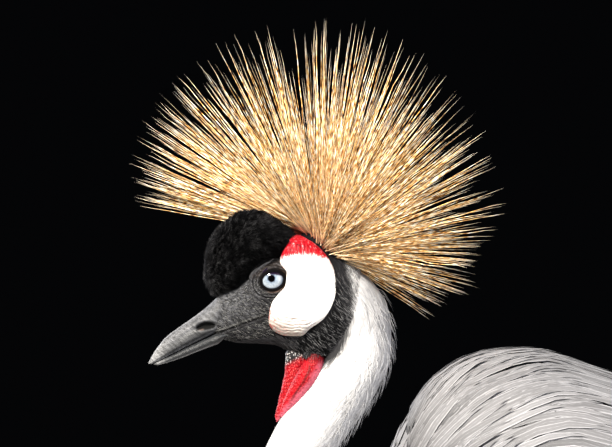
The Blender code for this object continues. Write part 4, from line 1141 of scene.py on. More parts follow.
@dataclass
class Flesh:
    """The bird's skin, one surface from the face to the thighs, inside the coat."""

    voxel: float = 2.0
    face_depth: float = 0.1    # how far each part's skin lies inside its solid
    velvet_depth: float = 2.4
    neck_depth: float = 1.1
    body_depth: float = 2.6
    thigh_depth: float = 2.5
    eye_reach: float = 15.5    # radius out to which the lids' sheets run

    def blank(self) -> Object:
        """The separate forms of the flesh in one object."""
        forms = [
            HEAD.shell(60, 64, -self.face_depth), VELVET.shell(40, 48, -self.velvet_depth),
            NECK.shell(110, 56, -self.neck_depth), TORSO.shell(110, 80, -self.body_depth),
            ellipsoid((*CREST_CENTRE, 0.0), (14.0, 12.5, 14.0)),
        ]
        for side in Side:
            limb = thigh_limb(side)
            forms.append(Limb(limb.path, limb.radii - self.thigh_depth).form())
        return add_object("skin", Form.joined(forms).mesh("skin"))

    def build(self) -> Object:
        """Fuse the forms, refine the face, press in its folds and mark it."""
        made = self.blank()
        fuse = made.modifiers.new("fuse", "REMESH")
        fuse.mode = "VOXEL"
        fuse.voxel_size = self.voxel * MM
        graph = bpy.context.evaluated_depsgraph_get()
        mesh = bpy.data.meshes.new_from_object(made.evaluated_get(graph))
        bpy.data.objects.remove(made)
        bm = bmesh.new()
        bm.from_mesh(mesh)
        for _ in range(2):
            bmesh.ops.smooth_vert(bm, verts=bm.verts, factor=0.5, use_axis_x=True, use_axis_y=True, use_axis_z=True)
        face = [edge for edge in bm.edges if any(self.on_face(end.co) for end in edge.verts)]
        bmesh.ops.subdivide_edges(bm, edges=face, cuts=2, use_grid_fill=True)
        bmesh.ops.triangulate(bm, faces=[f for f in bm.faces if len(f.verts) > 4])
        bm.to_mesh(mesh)
        bm.free()
        points, normals = np.empty((2, len(mesh.vertices), 3))
        mesh.vertices.foreach_get("co", points.ravel())
        mesh.vertices.foreach_get("normal", normals.ravel())
        points = points + normals * (self.folds(from_eye(points)) * MM)[:, None]
        skin = Form(points, self.faces_of(mesh))
        skin = Form.joined([skin] + [self.lids(side) for side in Side])
        skin.tint, skin.values["bare"] = self.colours(from_eye(skin.points))
        return skin.piece("skin", BARE_SKIN, "face_grey", "head", "neck_upper", "neck_lower", "neck_base", "torso",
                          "thigh_left", "thigh_right")

    def on_face(self, corner: Vector) -> bool:
        """Whether a point lies on the bare face."""
        x, z = (corner.x - EYE[0]) / MM, (corner.z - EYE[2]) / MM
        return -44 < x < 12 and -44 < z < 14

    def faces_of(self, mesh: Mesh) -> list[Array]:
        """Corner numbers of a mesh's triangles and quads."""
        found = {3: [], 4: []}
        for polygon in mesh.polygons:
            found[len(polygon.vertices)].append(tuple(polygon.vertices))
        return [np.array(faces) for faces in found.values() if faces]

    def colours(self, points: Array) -> tuple[Array, Array]:
        """Colour of the skin, and where it is bare.

        Args:
            points: places, millimetres from the eye.

        Returns:
            A linear colour and a share of bareness for each place.
        """
        x, y, z = points.T
        bare = ease(-x, -14, -11) * ease(z, -43, -41) * ease(brow_line(x) - z, -1.5, 0.5)
        above = above_mouth(x, z)
        front = ease(-x, 4, 30) * ease(above, -0.5, 2.5)
        tint = blend(markings(points),
                     ("#515256", front * ease(above + 0.25 * x, -10, 6) * bare),
                     ("#595A5E", ease(-x, 18, 36) * ease(above, 8, 16) * bare),
                     ("#2C2C2F", ease(-above, 0.5, 6) * 0.75 * bare),
                     # Near black along the line of the mouth: painted shade in its groove.
                     ("#0B0B0C", bell(above, 0.0, 0.75) * ease(-x, 2, 5) * bare),
                     ("#7E7E7D", 0.8 * bell(above, 1.5, 0.6) * ease(-x, 0, 16) * bare))
        tint = tint * (1 - 0.5 * ease(x - 0.15 * z, -14, 6) * ease(-z, 2, 12) * bare)[:, None]
        angle, reach = np.arctan2(z, x), np.hypot(x, z)
        s = reach - self.opening(angle)
        near = ease(-s, -8.5, -6.5) * (np.abs(y) > 9) * bare
        # Painted highlight and shade: lighter and darker bands on the lid's wrinkles, as light falls on their ridges
        # and furrows.
        furrow = np.sin(s * 2.9 + 0.9 * np.sin(angle * 3) + 0.8 * grain(points, 3.0, 15))
        tint = tint * (1 + near * (0.75 * furrow - 0.1) * ease(s, 1.2, 2.4))[:, None]
        brown = near * ease(z, -1, 4) * ease(s, 0.4, 1.5)
        band = near * bell(s, 2.1, 0.6)
        line = near * np.exp(-((s - 0.3) / np.interp(np.sin(angle - 0.3), (-1, 0, 1), (1.2, 1.5, 2.0))) ** 6)
        tint = blend(tint, ("#3E3531", 0.4 * brown),
                     ("#6B5446", band * ease(np.cos(angle + 0.5), -0.2, 0.5) * 0.6), ("#040304", line))
        return tint, bare * (1 - 0.8 * near * ease(-s, -2.5, -1.0))

    def folds(self, points: Array) -> Array:
        """Lift of the bare face: the line of the mouth, wrinkles under the eye and loose skin.

        Args:
            points: places, millimetres from the eye.

        Returns:
            Millimetres outward for each place.
        """
        x, y, z = points.T
        face = ease(-x, -14, -8) * ease(z, -44, -38) * (x > -46)
        gape = above_mouth(x, z)
        line = -1.5 * bell(gape, 0.0, 0.55) + 0.45 * bell(gape, -1.5, 0.8)
        line *= ease(-x, 2, 6)
        away = np.hypot(x + 0.5, z)
        wrinkle = 0.4 * np.sin(away * 2.3 + 1.5 * grain(points, 4.0, 1))
        wrinkle = wrinkle * ease(away, 8, 10) * ease(-away, -24, -15) * ease(-z, -6, 4)
        crumple = 0.22 * grain(points * np.array([1.0, 1.0, 1.6]), 1.5, 5) + 0.16 * grain(points, 0.8, 6)
        under_bill = 1.8 * ease(-x, 34, 38.5) * ease(-z, 8, 14)
        under_lids = 4.5 * ease(-np.hypot(x, z), -13.5, -10.0) * (np.abs(y) > 7)
        return face * (line + wrinkle + crumple) - under_bill - under_lids

    def opening(self, angle: Array) -> Array:
        """Radius of the gap between the lids at an angle from the tail side, upward, in millimetres."""
        along, across = np.cos(angle - 0.2) / 7.2, np.sin(angle - 0.2) / 5.6
        return 1 / np.sqrt(along ** 2 + across ** 2)

    def lids(self, side: Side) -> Form:
        """Both lids of one eye, with their rims, furrows and the brow.

        Args:
            side: which eye.

        Returns:
            A sheet with a gap for the eye.
        """
        turn, reach = np.meshgrid(np.linspace(0, 2 * np.pi, 168, endpoint=False), np.linspace(0, 1, 64) ** 1.25,
                                  indexing="xy")
        inner = self.opening(turn) - 0.8
        radius = inner + (self.eye_reach - inner) * reach
        s = radius - self.opening(turn)
        x, z = radius * np.cos(turn), radius * np.sin(turn)
        ball = EYE_OUT + EYE_RADII[1] * np.sqrt(np.clip(1 - (radius / EYE_RADII[0]) ** 2, 0, 1))
        ground = np.maximum(HEAD.half_width(x, z), 10.0) + 0.15
        near = ease(-s, -4.5, 0.2)
        height = ground * (1 - near) + (ball + 0.55) * near
        rim = 0.75 * bell(s, 0.7, 0.55) - 0.55 * bell(s, 1.9, 0.45)
        rim += 0.55 * bell(s, 3.0, 0.7) - 0.4 * bell(s, 4.1, 0.4)
        rim += 0.22 * np.sin(s * 3.6 + 1.2 * np.sin(turn * 3)) * ease(s, 4, 5.5) * ease(-s, -9, -6)
        places = np.stack([x, np.full_like(x, 15.0 * side.value), z], axis=-1)
        rim += (0.16 * grain(places, 0.9, 8) + 0.12 * grain(places, 0.5, 9)) * ease(s, 0.6, 2.5)
        brow = 1.7 * bell(z, 8.0 - 0.05 * (x - 2) ** 2, 1.5) * ease(-np.abs(x - 0.5), -12, -6)
        height = height + rim + brow * ease(s, 0.6, 2.2)
        tuck = ease(reach, 0.86, 1.0)
        height = height * (1 - tuck) + (ground - 1.2) * tuck
        height = np.where(s < -0.45, ball - 0.5, height)
        form = lattice(world(x, z, side.value * height), ends=False)
        return form.flipped() if side is Side.RIGHT else form


@dataclass
class Eyes:
    """The eyeballs."""

    pupil: tuple[float, float] = (-0.9, 1.2)

    def build(self) -> None:
        """One wet ball each side, with its rings measured from the pupil's axis."""
        for side in Side:
            ball = ellipsoid((0.0, 0.0, side.value * EYE_OUT), EYE_RADII, 90, 96)
            mm = from_eye(ball.points)
            ball.values["ring"] = np.hypot(mm[:, 0] - self.pupil[0], mm[:, 2] - self.pupil[1]) / 10
            ball.piece(f"eye_{side.label}_wet", EYE_PALE, "iris_pale", f"eye_{side.label}")


@dataclass
class Bill:
    """Both halves of the bill."""

    nostril: tuple[float, float] = (-43.7, -29.7)

    def build(self) -> None:
        """The upper half with its nostrils and culmen, then the lower half."""
        self.half(BILL_UPPER, True).piece("bill_upper_horn", BILL_SLATE, "bill_slate", "bill_upper")
        self.half(BILL_LOWER, False).piece("bill_lower_horn", BILL_SLATE, "bill_slate", "bill_lower")

    def half(self, sweep: Sweep, upper: bool) -> Form:
        """One half, a fine shell with its relief.

        Args:
            sweep: its form.
            upper: whether it is the half with the nostrils.

        Returns:
            The form.
        """
        share, turn = sweep.net(220, 128, 1.1)
        points = sweep.point(share, turn)
        mm = from_eye(points)
        lift = 0.1 * grain(mm * np.array([0.35, 1, 1]), 1.2, 2) + 0.05 * grain(mm, 0.7, 4)
        edge = np.abs(((turn + 180) % 360) - 180)
        if upper:
            hole, wide, long = self.nostril_shape(mm)
            lift = lift - 3.0 * np.exp(-hole ** 4) + 0.3 * bell(np.sqrt(hole), 1.45, 0.3)
            groove = bell(wide, -0.2, 1.6) * ease(-long, 5, 9) * ease(long, -26, -10)
            lift = lift - 0.6 * groove + 0.3 * bell(edge, 128, 9.0) - 1.6 * ease(mm[..., 0], -37, -29)
        else:
            lift = lift + 0.22 * bell(edge, 60, 8.0) - 2.7 * ease(mm[..., 0], -37, -28)
        lift = lift * ease(share, 0.0, 0.06)
        form = lattice(points + sweep.normal(share, turn) * (lift * MM)[..., None])
        mm = from_eye(form.points)
        form.tint = self.colours(sweep, mm, upper)
        form.values["hollow"] = ease(-self.nostril_shape(mm)[0], -1.3, -0.9) * upper
        return form

    def nostril_shape(self, mm: Array) -> tuple[Array, Array, Array]:
        """Where places lie by the nostril.

        Args:
            mm: places, millimetres from the eye.

        Returns:
            How far out in the nostril's own ovals, and millimetres across it and along it.
        """
        slope = math.radians(8)
        dx, dz = mm[..., 0] - self.nostril[0], mm[..., 2] - self.nostril[1]
        long = dx * math.cos(slope) + dz * math.sin(slope)
        wide = -dx * math.sin(slope) + dz * math.cos(slope) + 0.018 * long ** 2
        return (long / 6.6) ** 2 + (wide / 2.7) ** 2, wide, long

    def colours(self, sweep: Sweep, mm: Array, upper: bool) -> Array:
        """Pale along the culmen as a painted highlight, paler at the rims and the tip, darker towards the gape as
        painted shade, and black in the nostril as painted shade.

        Args:
            sweep: the half's form.
            mm: places, millimetres from the eye.
            upper: whether it is the half with the nostrils.

        Returns:
            A linear colour for each place.
        """
        x, _, z = mm.T
        share = sweep.share_at(x)
        middle, depth = (np.interp(share, sweep.shares, sweep.table[:, i]) for i in (1, 2))
        rise = (z - middle) / np.maximum(depth, 0.5)
        if upper:
            hole, wide, _ = self.nostril_shape(mm)
            inside = ease(-hole, -1.15, -0.75)
            # Painted light on the upper half: lighter on top with a painted highlight along the culmen, painted shade
            # on its lower side towards the gape, and black painted shade in the nostril's hollow.
            tint = blend(np.broadcast_to(shade("#545557"), mm.shape),
                         ("#5B5C60", ease(rise, -0.35, 0.5)),
                         ("#87888C", ease(rise, 0.86, 0.98) * ease(-x, 40, 50) * 0.7),
                         ("#2F3033", ease(-rise, 0.25, 0.6) * 0.75),
                         ("#7D7E82", ease(-rise, 0.8, 0.93) * 0.8),
                         ("#4F5054", ease(x, -48, -36) * 0.8),
                         ("#030303", inside),
                         ("#84706A", inside * ease(-wide, 1.3, 2.0) * ease(-x, 44, 47) * 0.7))
        else:
            tint = blend(np.broadcast_to(shade("#2A2C2F"), mm.shape),
                         ("#6E6F73", ease(-rise, 0.62, 0.92) * ease(-x, 27, 50)))
        return blend(tint, ("#8C8D8F", ease(-x, 66, 80) * 0.9))


@dataclass
class Cheeks:
    """The bare pad on each side of the face."""

    centre: tuple[float, float] = (20.0, -3.0)
    rings: int = 90
    around: int = 280
    fine: int = 1400           # places that the edge is measured at
    search: int = 400          # of them, the ones near an end that can be where the line closes

    def outline(self) -> Array:
        """The pad's edge as a smooth closed line."""
        rows = np.array(CHEEK_OUTLINE + CHEEK_OUTLINE[:3], float)
        dense = cubic_table(rows, self.fine)
        step = np.concatenate([[0], np.cumsum(np.linalg.norm(np.diff(dense, axis=0), axis=1))])
        start = np.argmin(np.hypot(*(dense[:self.search] - rows[1]).T))
        end = self.fine - 1 - np.argmin(np.hypot(*(dense[::-1][:self.search] - rows[-2]).T))
        picks = np.linspace(step[start], step[end], self.around, endpoint=False)
        return np.stack([np.interp(picks, step, dense[:, i]) for i in (0, 1)], axis=1)

    def build(self) -> None:
        """A cushioned pad on each side."""
        for side in Side:
            self.pad(side).piece(f"cheek_{side.label}_skin", CHEEK_WHITE, "cheek_white", f"cheek_{side.label}")

    def pad(self, side: Side) -> Form:
        """The pad of one side, domed and tucked in at its edge.

        Args:
            side: which side.

        Returns:
            The form.
        """
        edge = self.outline()
        middle = np.array(self.centre)
        s = (1 - (1 - np.linspace(0.0, 1, self.rings)) ** 1.7)[:, None]
        flat = middle + (edge - middle)[None] * s[..., None]
        x, z = flat[..., 0], flat[..., 1]
        dome = 11 + 11.8 * np.sqrt(np.clip(1 - ((x - 19) / 33) ** 2 - ((z + 6) / 41) ** 2, 0.02, 1))
        under = HEAD.half_width(x, z)
        lip = (1 - s ** 9) ** 0.5
        height = np.minimum(dome, 23.5) * lip + (np.minimum(under, dome) - 0.9) * (1 - lip)
        eye_gap = ease(-np.hypot(x, z), -12.5, -9.0)
        height = height - 1.6 * eye_gap * ease(-s, -0.99, -0.8)
        place = np.stack([x, np.full_like(x, 15.0), z], axis=-1)
        low = ease(-(z + 0.35 * (x - 19)), 22, 27)
        ripple = np.sin((z + 0.10 * x - 0.014 * (x - 12) ** 2) * 3.1 + 6.5 * grain(place, 5.5, 11)
                        + 1.5 * grain(place, 1.6, 18))
        height = height + 0.42 * ripple * low * lip * (0.6 + 0.6 * grain(place, 3.0, 16))
        upper = ease(z + 0.014 * (x - 20) ** 2, 14, 18)
        height = height + 0.22 * np.sin(x * 2.6 + 2.0 * grain(place, 5.0, 12)) * upper * lip
        height = height + (0.10 * grain(place, 2.2, 13) + 0.5 * grain(place, 13.0, 14)) * lip
        form = lattice(world(x, z, side.value * height), ends=False)
        ahead = ease(-(x + 0.2 * z), -8, 2)
        form.values["rim"] = (s ** 8 * (0.45 + 0.55 * ahead) * ease(-z, 8, 20)).ravel()
        # Painted shade in the troughs of the lobe's ripples.
        form.values["fold"] = (low * lip * ease(-ripple, 0.1, 1.0) * (0.7 + 0.5 * grain(place, 2.5, 17))).ravel()
        return form.flipped() if side is Side.LEFT else form


@dataclass
class Wattle:
    """The red throat skin: a front keel, and a fold behind it on each side of the neck."""

    def build(self) -> None:
        """The keel and both folds as one piece."""
        net = KEEL.net(150, 96)
        points = KEEL.point(*net)
        mm = from_eye(points)
        lift = 0.28 * grain(mm, 1.1, 21) + 0.4 * grain(mm, 4.0, 22)
        forms = [lattice(points + KEEL.normal(*net) * (lift * MM)[..., None])]
        for side in Side:
            path = np.array(FOLD) * (1, 1, side.value, 1)
            forms.append(Limb(path[:, :3], path[:, 3], 48, 100).form(self.pleats))
        whole = Form.joined(forms)
        mm = from_eye(whole.points)
        x, _, z = mm.T
        behind = x - np.interp(z, (-92, -85, -73.6, -66, -57.6, -47.7), (3.5, 7.3, 13.4, 18.7, 22.9, 21.8))
        back = x - np.interp(z, (-92, -85.7, -77.4, -65.2, -57.6, -49.2), (5, 8.1, 14.9, 26.3, 30.9, 33.9))
        whole.values["crease"] = bell(behind, -0.9, 2.0)
        whole.values["grey"] = ease(z - 0.5 * (x - 10), -57, -52) * ease(-behind, 0.5, 3)
        whole.values["rim"] = ease(back + 1.4 * grain(mm, 1.4, 23), -5.5, -0.5) * ease(-z, 50, 56)
        # Painted shade: dark in the groove behind the keel and under the jaw, where the head's shade falls.
        groove = bell(behind, 0.9, 0.9) * ease(-z, 52, 58) * ease(z, -84, -74)
        whole.values["dark"] = np.maximum(0.75 * groove, ease(z + 0.15 * (x - 28), -56, -48) * 0.8
                                          * ease(behind, -3, 0))
        whole.piece("wattle_skin", WATTLE_RED, "wattle_red", "wattle")

    def pleats(self, far: Array, angle: Array) -> Array:
        """Small gathers of the loose skin."""
        return 0.25 * np.sin(far * 2.4 + 2 * np.sin(angle * 3)) * np.cos(angle * 4)


@dataclass
class Velvet:
    """The cushion of short, dense black feathers on the forehead."""

    count: int = 36000
    brow_count: int = 24000
    pile: Plume = Plume(3.2, 0.55, (0.0, 1.0), (0.0, 2.2), 1.0, 0.3, vary=0.35, stray=22)

    def build(self) -> None:
        """A pile that stands up and leans back, on the cushion and on the brow below it."""
        rng = np.random.default_rng(31)
        self.grow(VELVET, self.count, rng, self.on_top).piece(
            "velvet_pile", VELVET_DOWN, "velvet_black", "forehead_velvet")
        self.grow(HEAD, self.brow_count, rng, self.on_brow).piece("velvet_brow", VELVET_DOWN, "velvet_black")

    def grow(self, sweep: Sweep, count: int, rng: Draw, keep: Keep) -> Form:
        """The pile on one form, with a grey mottle brightened towards the upper front as a painted sheen, and a painted
        grey highlight along its front rim.

        Args:
            sweep: the form it grows on.
            count: how many feathers to draw.
            rng: the seeded draw.
            keep: says which of them stay.

        Returns:
            The form.
        """
        share, turn = sweep.scatter(count, rng, keep)
        mm = sweep.mm(share, turn)
        x, _, z = mm.T
        mottle = ease(grain(mm, 1.5, 33) + 0.4 * grain(mm, 5.0, 35), -0.1, 0.7) * rng.uniform(0.3, 1.0, len(x))
        # Painted sheen: the grey mottle brightens towards the upper front, where the light falls.
        lit = ease(-(x - 0.5 * (z - 18)), 0, 36)
        # Painted highlight: worn here is a grey rim light along the pile's front edge.
        worn = ease(-(x - 0.25 * (z - 14)), 39, 45) * rng.uniform(0.1, 1.0, len(x))
        tint = blend(plain(INK, len(x)), ("#58585B", 0.02 + mottle * (0.16 + 0.8 * lit) + 0.4 * worn))
        return self.pile.lay(sweep, share, turn, lambda at, around: 12 + 60 * grain(at, 2.6, 34), rng, tint,
                             lambda at, around: -1.7 + 0.7 * grain(at, 2.2, 32))

    def on_top(self, mm: Array, share: Array, turn: Array) -> Array:
        """Keep what isn't buried in the head."""
        return HEAD.half_width(mm[:, 0], mm[:, 2]) < np.abs(mm[:, 1]) + 1.5

    def on_brow(self, mm: Array, share: Array, turn: Array) -> Array:
        """Keep the black of the brow that the cushion doesn't cover."""
        x, z = mm[:, 0], mm[:, 2]
        return (z > brow_line(x) + 0.3) & (x < 9) & (VELVET.half_width(x, z) < np.abs(mm[:, 1]) + 1.0)


@dataclass
class Crest:
    """The crown of stiff gold bristles, radiating from a small root behind the brow."""

    count: int = 5600
    clumps: int = 3400
    low_fan: int = 80          # extra long bristles low on the far side of the velvet, where the photo has many
    root: float = 1.8          # spread of the roots round the crest's centre, millimetres
    stations: tuple[float, ...] = (0.04, 0.12, 0.22, 0.33, 0.44, 0.54, 0.64, 0.74, 0.83, 0.92, 1.0)

    def allowed(self, ways: Array) -> Array:
        """Whether bristles may point these ways without crossing brow, face or nape.

        The photo's crest hangs lower on the far side of the velvet, and keeps clear of it on the near side.
        """
        ahead = np.degrees(np.arctan2(np.abs(ways[:, 1]), -ways[:, 0]))
        rise = np.degrees(np.arcsin(ways[:, 2]))
        near = np.interp(ahead, (0, 28, 62, 80, 110, 150, 180), (33, 34, 36, 28, 8, -26, -37))
        far = np.interp(ahead, (0, 15, 18, 62, 110, 150, 180), (27, 25, 12, 9, 5, -27, -37))
        return rise > np.where(ways[:, 1] > 0, far, near)

    def ways(self, count: int, rng: Draw, loose: float) -> Array:
        """Directions spread evenly over the crown.

        Args:
            count: how many on the whole ball.
            rng: the seeded draw.
            loose: how far each one strays.

        Returns:
            The unit vectors that the crown allows.
        """
        i = np.arange(count)
        z = 1 - 2 * (i + 0.5) / count
        flat = np.sqrt(1 - z * z)
        golden = math.pi * (3 - math.sqrt(5)) * i
        ways = np.stack([flat * np.cos(golden), flat * np.sin(golden), z], axis=1) + rng.normal(0, loose, (count, 3))
        ways = unit(ways)
        return ways[self.allowed(ways)]

    def build(self) -> None:
        """Bristles drawn together in loose clumps towards their tips."""
        rng = np.random.default_rng(41)
        ways = self.ways(self.count, rng, 0.03)
        around, rise = np.radians(rng.uniform(17, 34, self.low_fan)), np.radians(rng.uniform(11, 37, self.low_fan))
        fan = np.stack([-np.cos(rise) * np.cos(around), np.cos(rise) * np.sin(around), np.sin(rise)], axis=1)
        ways = np.concatenate([ways, fan])
        heads = self.ways(self.clumps, rng, 0.05)
        nearest = heads[np.argmax(ways @ heads.T, axis=1)]
        t = np.array(self.stations)
        angle = np.degrees(np.arctan2(ways[:, 2], ways[:, 0]))
        angles, reaches = zip(*CREST_REACH)
        kind = rng.choice(3, len(ways), p=(0.18, 0.30, 0.52))
        kind[-self.low_fan:] = 0
        shorter = np.choose(kind, (1.03 - np.abs(rng.normal(0, 0.07, len(ways))), rng.uniform(0.45, 0.9, len(ways)),
                                   rng.uniform(0.18, 0.42, len(ways))))
        reach = np.interp(angle, angles, reaches) * shorter * (1 - 0.12 * ways[:, 1] ** 2)
        pull = rng.uniform(0.0, 0.6, len(ways))[:, None, None] * (t ** 1.2)[None, :, None]
        heading = unit(ways[:, None] * (1 - pull) + nearest[:, None] * pull)
        bend = rng.normal(0, 1.5, (len(ways), 3)) + np.array([0.6, 0, -1.4])
        far = reach[:, None] * t
        paths = heading * far[..., None] + bend[:, None] * (t ** 2)[None, :, None]
        roots = rng.normal(0, self.root, (len(ways), 3)) * np.array([1.2, 1.0, 0.5])
        roots[:, 2] -= 0.45 * roots[:, 0]
        roots += ways * np.array([10.5, 11.0, 1.5]) * rng.uniform(0.5, 1.0, (len(ways), 1))
        roots[:, 2] -= 4.0 * np.abs(ways[:, 1]) + 7.0 * ways[:, 0]
        paths += roots[:, None] * ((1 - t) ** 1.5)[None, :, None]
        wave = np.sin(far / 5.5 + rng.uniform(0, 6, (len(ways), 1))) * 0.3 * t
        paths = paths + np.cross(ways, rng.normal(0, 1, ways.shape))[:, None] * wave[..., None]
        paths = world(CREST_CENTRE[0], CREST_CENTRE[1], 0.0) + paths * MM
        ups = np.repeat(unit(np.cross(ways, rng.normal(0, 1, ways.shape)))[:, None], len(t), axis=1)
        thin = np.interp(t, (0.0, 0.15, 0.6, 0.85, 1.0), (0.62, 0.62, 0.56, 0.36, 0.06))
        widths = rng.uniform(0.7, 1.2, (len(ways), 1)) * thin
        down = np.degrees(np.arccos(np.clip(ways[:, 2], -1, 1)))
        round_about = np.arctan2(ways[:, 1], ways[:, 0])
        places = 0.5 + (down / 260)[:, None] * np.stack([np.cos(round_about), np.sin(round_about)], axis=1)
        form = strands(paths, ups, widths, widths * 0.85, plain("#D6AC72", len(ways)), rng, places)
        form.piece("crest_bristles", CREST_GOLD, "crest_gold", "crest")


@dataclass
class HeadCoat:
    """Short feathers round the face and down the neck."""

    head_count: int = 30000
    neck_count: int = 30000
    stubble_count: int = 26000
    fringe_count: int = 700
    wisp_count: int = 9000
    wisp_share: float = 0.28       # of them, the ones that stand off

    def build(self) -> None:
        """The dark tufts round the cheek, then the neck's fine coat."""
        rng = np.random.default_rng(51)
        share, turn = HEAD.scatter(self.head_count, rng, self.behind_cheek)
        mm = HEAD.mm(share, turn)
        tuft = Plume(5.2, 0.42, (0.0, 0.5, 1.0), (0.1, 1.0), 0.5, 0.16, vary=0.3, stray=14)
        x, _, z = mm.T
        size = np.interp(np.hypot(x - CREST_CENTRE[0], z - CREST_CENTRE[1]), (6, 13, 20), (1.9, 1.5, 1.0))
        size = size * np.interp(z, (-50, -43), (1.9, 1.0))
        grey = (rng.uniform(0, 1, len(x)) < 0.22) * ease(x - 0.8 * z, 22, 48)
        tuft.lay(HEAD, share, turn,
                 lambda at, around: np.interp(np.abs(around), (0, 60, 120, 180), (0, 55, 35, 0)), rng,
                 blend(markings(mm), ("#5E5E60", grey)), lambda at, around: self.hang(at), size
                 ).piece("face_tufts", FACE_PLUMAGE, "velvet_black")
        fields = (("nape_tufts", 0.0, 0.34, 9.0, 52), ("neck_tufts", 0.34, 0.62, 15.0, 53),
                  ("throat_tufts", 0.62, 0.86, 18.0, 54))
        for name, low, high, length, seed in fields:
            rng = np.random.default_rng(seed)
            share, turn = NECK.scatter(self.neck_count, rng,
                                             lambda mm, s, t: (s > low) & (s <= high) & self.outside(mm))
            tuft = Plume(length, 1.1, (0.0, 0.25, 0.6, 1.0), (0.0, 0.1), 0.35, 0.02, vary=0.35, stray=3)
            tuft.lay(NECK, share, turn, steady(3.0), rng, None, steady(-1.0)).piece(
                name, SOFT_PLUMAGE, "plumage_pale")
        self.wisps()
        self.stubble()
        self.fringe()

    def fringe(self) -> None:
        """Dark hairs from under the jaw that hang over the top of each wattle fold."""
        rng = np.random.default_rng(58)
        forms = []
        count = self.fringe_count
        for side in Side:
            x, z = rng.uniform(19, 38, count), rng.uniform(-46.5, -40, count)
            z = z + 0.3 * (x - 28)
            out = np.interp(z, (-50, -46, -40), (12.5, 9.4, 5.5)) * np.sqrt(np.clip(1 - ((x - 28) / 12.0) ** 2, 0.1, 1))
            t = np.array((0.0, 0.5, 1.0))
            length = rng.uniform(1.8, 4.6, (count, 1))
            fall = np.stack([x[:, None] + length * t * rng.normal(0.25, 0.25, (count, 1)), z[:, None] - length * t,
                             side.value * (out[:, None] + np.array((-1.0, 0.6, 1.0)) + 0.95 * length * t)], axis=-1)
            paths = world(fall[..., 0], fall[..., 1], fall[..., 2])
            ups = np.broadcast_to(np.array([0.0, side.value, 0.1]), paths.shape)
            widths = 0.4 * np.array((0.7, 1.0, 0.1)) * np.ones((count, 1))
            tint = blend(plain(INK, count), ("#5A5A5D", rng.uniform(0, 1, count) ** 3))
            places = np.stack([0.4 + x / 200, 0.5 + side.value * 0.3 + z / 400], axis=1)
            forms.append(strands(paths, ups, widths, widths * 0.3, tint, rng, places))
        Form.joined(forms).piece("jaw_fringe", FACE_PLUMAGE, "velvet_black")

    def wisps(self) -> None:
        """Loose feathers that stand off the back of the neck."""
        rng = np.random.default_rng(56)
        share, turn = NECK.scatter(self.wisp_count, rng, lambda mm, s, t: (np.abs(t) < 75) & (s > 0.08) & (s < 0.6))
        keep = rng.uniform(0, 1, len(share)) < self.wisp_share
        tuft = Plume(13.0, 0.5, (0.0, 0.3, 0.65, 1.0), (0.6, 3.6), 0.8, 0.16, vary=0.4, stray=13)
        tuft.lay(NECK, share[keep], turn[keep], steady(0.0), rng, None, steady(-0.7)).piece(
            "neck_wisps", SOFT_PLUMAGE, "plumage_pale")

    def stubble(self) -> None:
        """Very short bristles thinly set on the bare face, most of them pale."""
        rng = np.random.default_rng(57)
        share, turn = HEAD.scatter(self.stubble_count, rng, self.on_face)
        tuft = Plume(2.6, 0.24, (0.0, 1.0), (0.0, 0.4), 0.3, 0.1, vary=0.4, stray=16)
        pale = rng.uniform(0, 1, len(share)) < 0.42
        tint = np.where(pale[:, None], shade("#9C9C9B"), shade("#1B1B1D"))
        tuft.lay(HEAD, share, turn, steady(25.0), rng, tint, steady(0.1)).piece(
            "face_stubble", FACE_PLUMAGE, "face_grey")

    def hang(self, mm: Array) -> Array:
        """How far the dark feathers stand off under the jaw, over the wattle's top."""
        x, z = mm[..., 0], mm[..., 2]
        return np.interp(x, (0, 8, 20, 28, 40), (0, 3.0, 3.6, 4.6, 0)) * ease(-z, 38, 47)

    def on_face(self, mm: Array, share: Array, turn: Array) -> Array:
        """Keep the bare face, clear of the lids and of the line of the mouth."""
        x, z = mm[:, 0], mm[:, 2]
        clear = (np.hypot(x, z) > 9.5) & (np.abs(above_mouth(x, z)) > 1.0) & (z < brow_line(x) - 0.5)
        return ~self.behind_cheek(mm, share, turn) & clear & (x < 12) & (x > -37)

    def behind_cheek(self, mm: Array, share: Array, turn: Array) -> Array:
        """Keep what isn't bare face or cheek.

        Args:
            mm: places, millimetres from the eye.
            share: share of the way along, not used.
            turn: degrees round, not used.

        Returns:
            Which places stay.
        """
        x, z = mm[:, 0], mm[:, 2]
        bare = (x < 13) & (z > -40.5 + 0.12 * (x + 40))
        pad = ((x - 19) / 20.8) ** 2 + ((z + 3) / 32.0) ** 2 < 1
        pad &= (x < 40.2) & (z > -34.5 + 0.55 * np.clip(x - 18, 0, 30))
        return ~bare & ~(pad & (np.abs(mm[:, 1]) > 12))

    def outside(self, mm: Array) -> Array:
        """Keep what isn't buried in the head."""
        return HEAD.half_width(mm[:, 0], mm[:, 2]) < np.abs(mm[:, 1]) + 1.0


